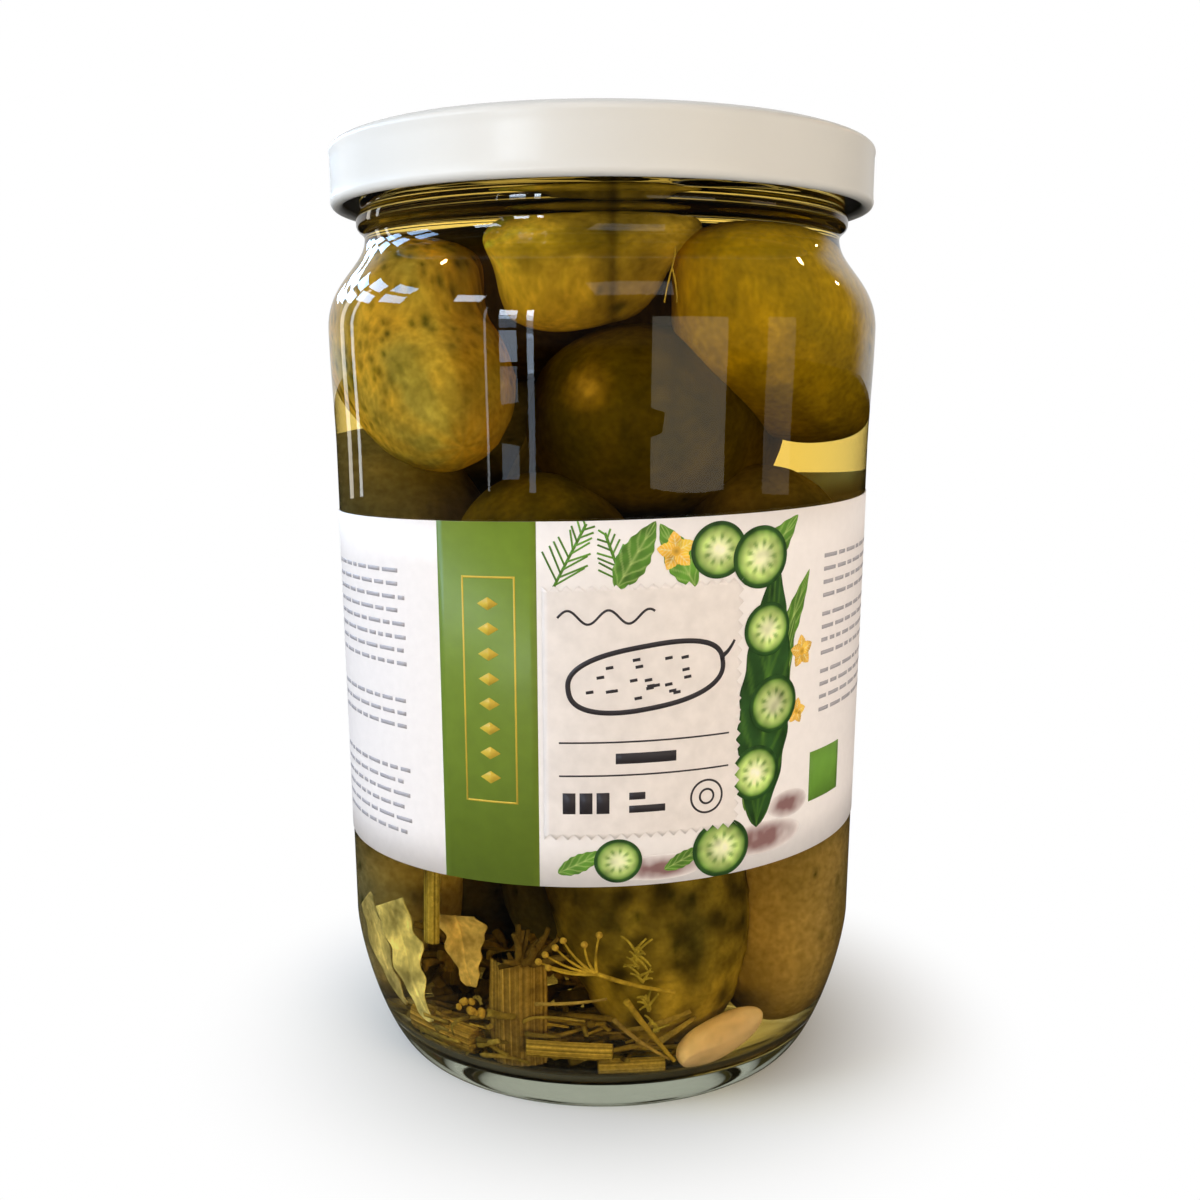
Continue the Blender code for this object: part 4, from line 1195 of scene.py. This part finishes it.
def painted_leaf(start, end, width, layer, colour, vein_colour, seed):
    """A pointed leaf: half width * sin(pi s^0.8)^0.8 at the share s of its length, pale along its veins."""
    start, end = np.array(start), np.array(end)
    length = np.linalg.norm(end - start)
    along = (end - start) / length
    s, u = np.meshgrid(np.linspace(0.0, 1.0, 61), np.linspace(-1.0, 1.0, 21), indexing="ij")
    half = 0.5 * width * np.sin(math.pi * s ** 0.8) ** 0.8 * (1.0 + 0.05 * np.sin(40.0 * s))
    across = start[0] + length * s * along[0] + u * half * along[1]
    up = start[1] + length * s * along[1] - u * half * along[0]
    vein = np.exp(-(u / 0.09) ** 2) + np.clip(2.4 * np.cos(34.0 * s - 9.0 * np.abs(u)) - 1.5, 0.0, 1.0)
    tint = mixed(colour * watered(across, up, seed)[..., None], vein_colour, 0.5 * vein)
    return [patch(across, up, layer, np.clip(tint, 0.0, 0.9))]


def painted_sprig(foot, tip, reach, count, layer, seed):
    """A sprig of dill: a stem and pairs of fine threads that grow shorter towards its tip."""
    draw = np.random.default_rng(seed)
    foot, tip = np.array(foot), np.array(tip)
    pieces = [line(foot + np.linspace(0.0, 1.0, 12)[:, None] * (tip - foot), 0.4, layer, MID_GREEN)]
    for thread in range(count):
        share = (thread + 0.5) / count
        slant = np.arctan2(*(tip - foot)[::-1]) + (0.75 if thread % 2 else -0.75) + draw.uniform(-0.2, 0.2)
        start = foot + share * (tip - foot)
        end = start + reach * (1.1 - 0.8 * share) * np.array((math.cos(slant), math.sin(slant)))
        path = start + np.linspace(0.0, 1.0, 8)[:, None] * (end - start)
        pieces.append(line(path, 0.28, layer, (0.7 + 0.8 * draw.uniform()) * MID_GREEN))
    return pieces


def painted_wash(middle, reach, layer, seed):
    """A thin wash: mauve in its middle, fading unevenly into the white of the paper."""
    across, up, r, _ = disc_places(middle, reach)
    share = np.clip(1.25 * (1.0 - r), 0.0, 1.0) ** 0.7 * np.clip(watered(across, up, seed), 0.3, 1.2)
    return [patch(across, up, layer, mixed(PAPER_WHITE, MAUVE, 1.15 * share))]


def blossom(middle, radius, layer, seed):
    """Five yellow petals round a darker middle."""
    petals = []
    for petal in range(5):
        turn_to = 2.0 * math.pi * petal / 5.0 + seed
        tip = (middle[0] + radius * math.cos(turn_to), middle[1] + radius * math.sin(turn_to))
        petals += painted_leaf(middle, tip, 0.75 * radius, layer + petal % 2, YELLOW, CREAM, seed + petal)
    across, up, r, _ = disc_places(middle, (0.24 * radius, 0.24 * radius))
    petals.append(patch(across, up, layer + 2, mixed(0.5 * YELLOW, YELLOW, r)))
    return petals


# The paintings, each by how it is painted, its places and sizes in millimetres, its layer from the
# paper up, its colours and its seed.
artwork = []
for paint, *painting in (
        (painted_wash, (26.0, 4.6), (8.5, 2.6), 1, 1),
        (painted_wash, (8.5, 2.6), (7.5, 2.0), 1, 2),
        (painted_wash, (31.5, 9.0), (4.5, 2.2), 2, 3),
        (painted_sprig, (-6.9, 45.0), (-2.2, 53.9), 4.6, 16, 1, 4),
        (painted_sprig, (3.2, 44.8), (0.4, 52.6), 3.8, 14, 1, 5),
        (painted_leaf, (2.0, 44.6), (7.6, 54.0), 4.6, 2, MID_GREEN, LIGHT_GREEN, 6),
        (painted_leaf, (13.6, 44.4), (8.2, 53.6), 4.4, 3, 1.3 * MID_GREEN, LIGHT_GREEN, 7),
        (blossom, (10.6, 49.6), 2.9, 4, 8),
        (painted_leaf, (21.5, 44.0), (31.5, 53.4), 5.0, 1, MID_GREEN, LIGHT_GREEN, 9),
        (painted_slice, (17.2, 49.4), 4.4, 5, 10),
        (painted_slice, (24.4, 47.8), 4.9, 6, 11),
        (painted_leaf, (24.8, 6.5), (27.4, 47.5), 9.8, 3, DEEP_GREEN, MID_GREEN, 12),
        (painted_leaf, (22.6, 9.5), (31.6, 38.5), 5.4, 2, 0.7 * MID_GREEN, LIGHT_GREEN, 13),
        (painted_leaf, (27.0, 30.0), (34.6, 45.0), 3.6, 1, MID_GREEN, LIGHT_GREEN, 14),
        (painted_slice, (26.0, 37.0), 4.3, 5, 15),
        (painted_slice, (27.6, 25.4), 4.7, 6, 16),
        (painted_slice, (24.4, 15.2), 4.5, 5, 17),
        (blossom, (33.4, 32.6), 2.6, 3, 18),
        (blossom, (32.6, 23.4), 2.1, 3, 19),
        (painted_slice, (2.4, 4.0), 3.6, 4, 20),
        (painted_leaf, (-6.6, 2.2), (0.6, 5.6), 2.8, 3, MID_GREEN, LIGHT_GREEN, 21),
        (painted_slice, (18.6, 4.4), 4.8, 5, 22),
        (painted_leaf, (9.4, 2.2), (16.2, 5.2), 2.4, 3, MID_GREEN, LIGHT_GREEN, 23)):
    artwork += paint(*painting)
printed("label_artwork", artwork)

# Rows of grey dashes at both ends of the front and round towards the back, in fields by their sides.
SMALL_GREY = np.array((0.42, 0.40, 0.44))
ROW_PITCH = 2.03
DASH_GAP = 0.75
draw = np.random.default_rng(8)
small_print = []
for left, right, low, high in (
        (-118.0, -72.0, 8.0, 46.0), (74.0, 98.0, 8.0, 46.0), (-58.0, -32.5, 31.0, 47.0),
        (-58.0, -33.0, 22.5, 27.0), (-58.0, -32.5, 5.5, 16.0), (38.5, 62.0, 40.0, 47.0),
        (38.5, 62.0, 31.0, 38.0), (38.5, 62.0, 21.0, 29.0)):
    for row in np.arange(high, low, -ROW_PITCH):
        start = left
        while start < right - 1.5:
            dash = min(draw.uniform(1.4, 4.6), right - start)
            small_print.append(block(start, start + dash, row - 0.78, row - 0.16, 1, SMALL_GREY))
            start += dash + DASH_GAP
printed("label_small_print", small_print)
SQUARE_GREEN = np.array((0.15, 0.33, 0.04))
printed("label_square", [block(36.5, 46.0, 8.0, 16.0, 1, SQUARE_GREEN)])
printed("label_back_bars", [block(103.0, 120.0, 8.0, 46.0, 1, BAND_GREEN)])

# The right half of the label has a lamp of its own, since its paper shows whiter there than the lid.
paper_pieces = bpy.data.collections.new("paper_pieces")
for thing in bpy.context.scene.collection.objects:
    if thing.name.startswith("label_"):
        paper_pieces.objects.link(thing)
lamp("label_side", 80.0, 6.0, 1.1, 0.4, 0.5, 3.6, (1.0, 0.95, 0.93), lit=paper_pieces)
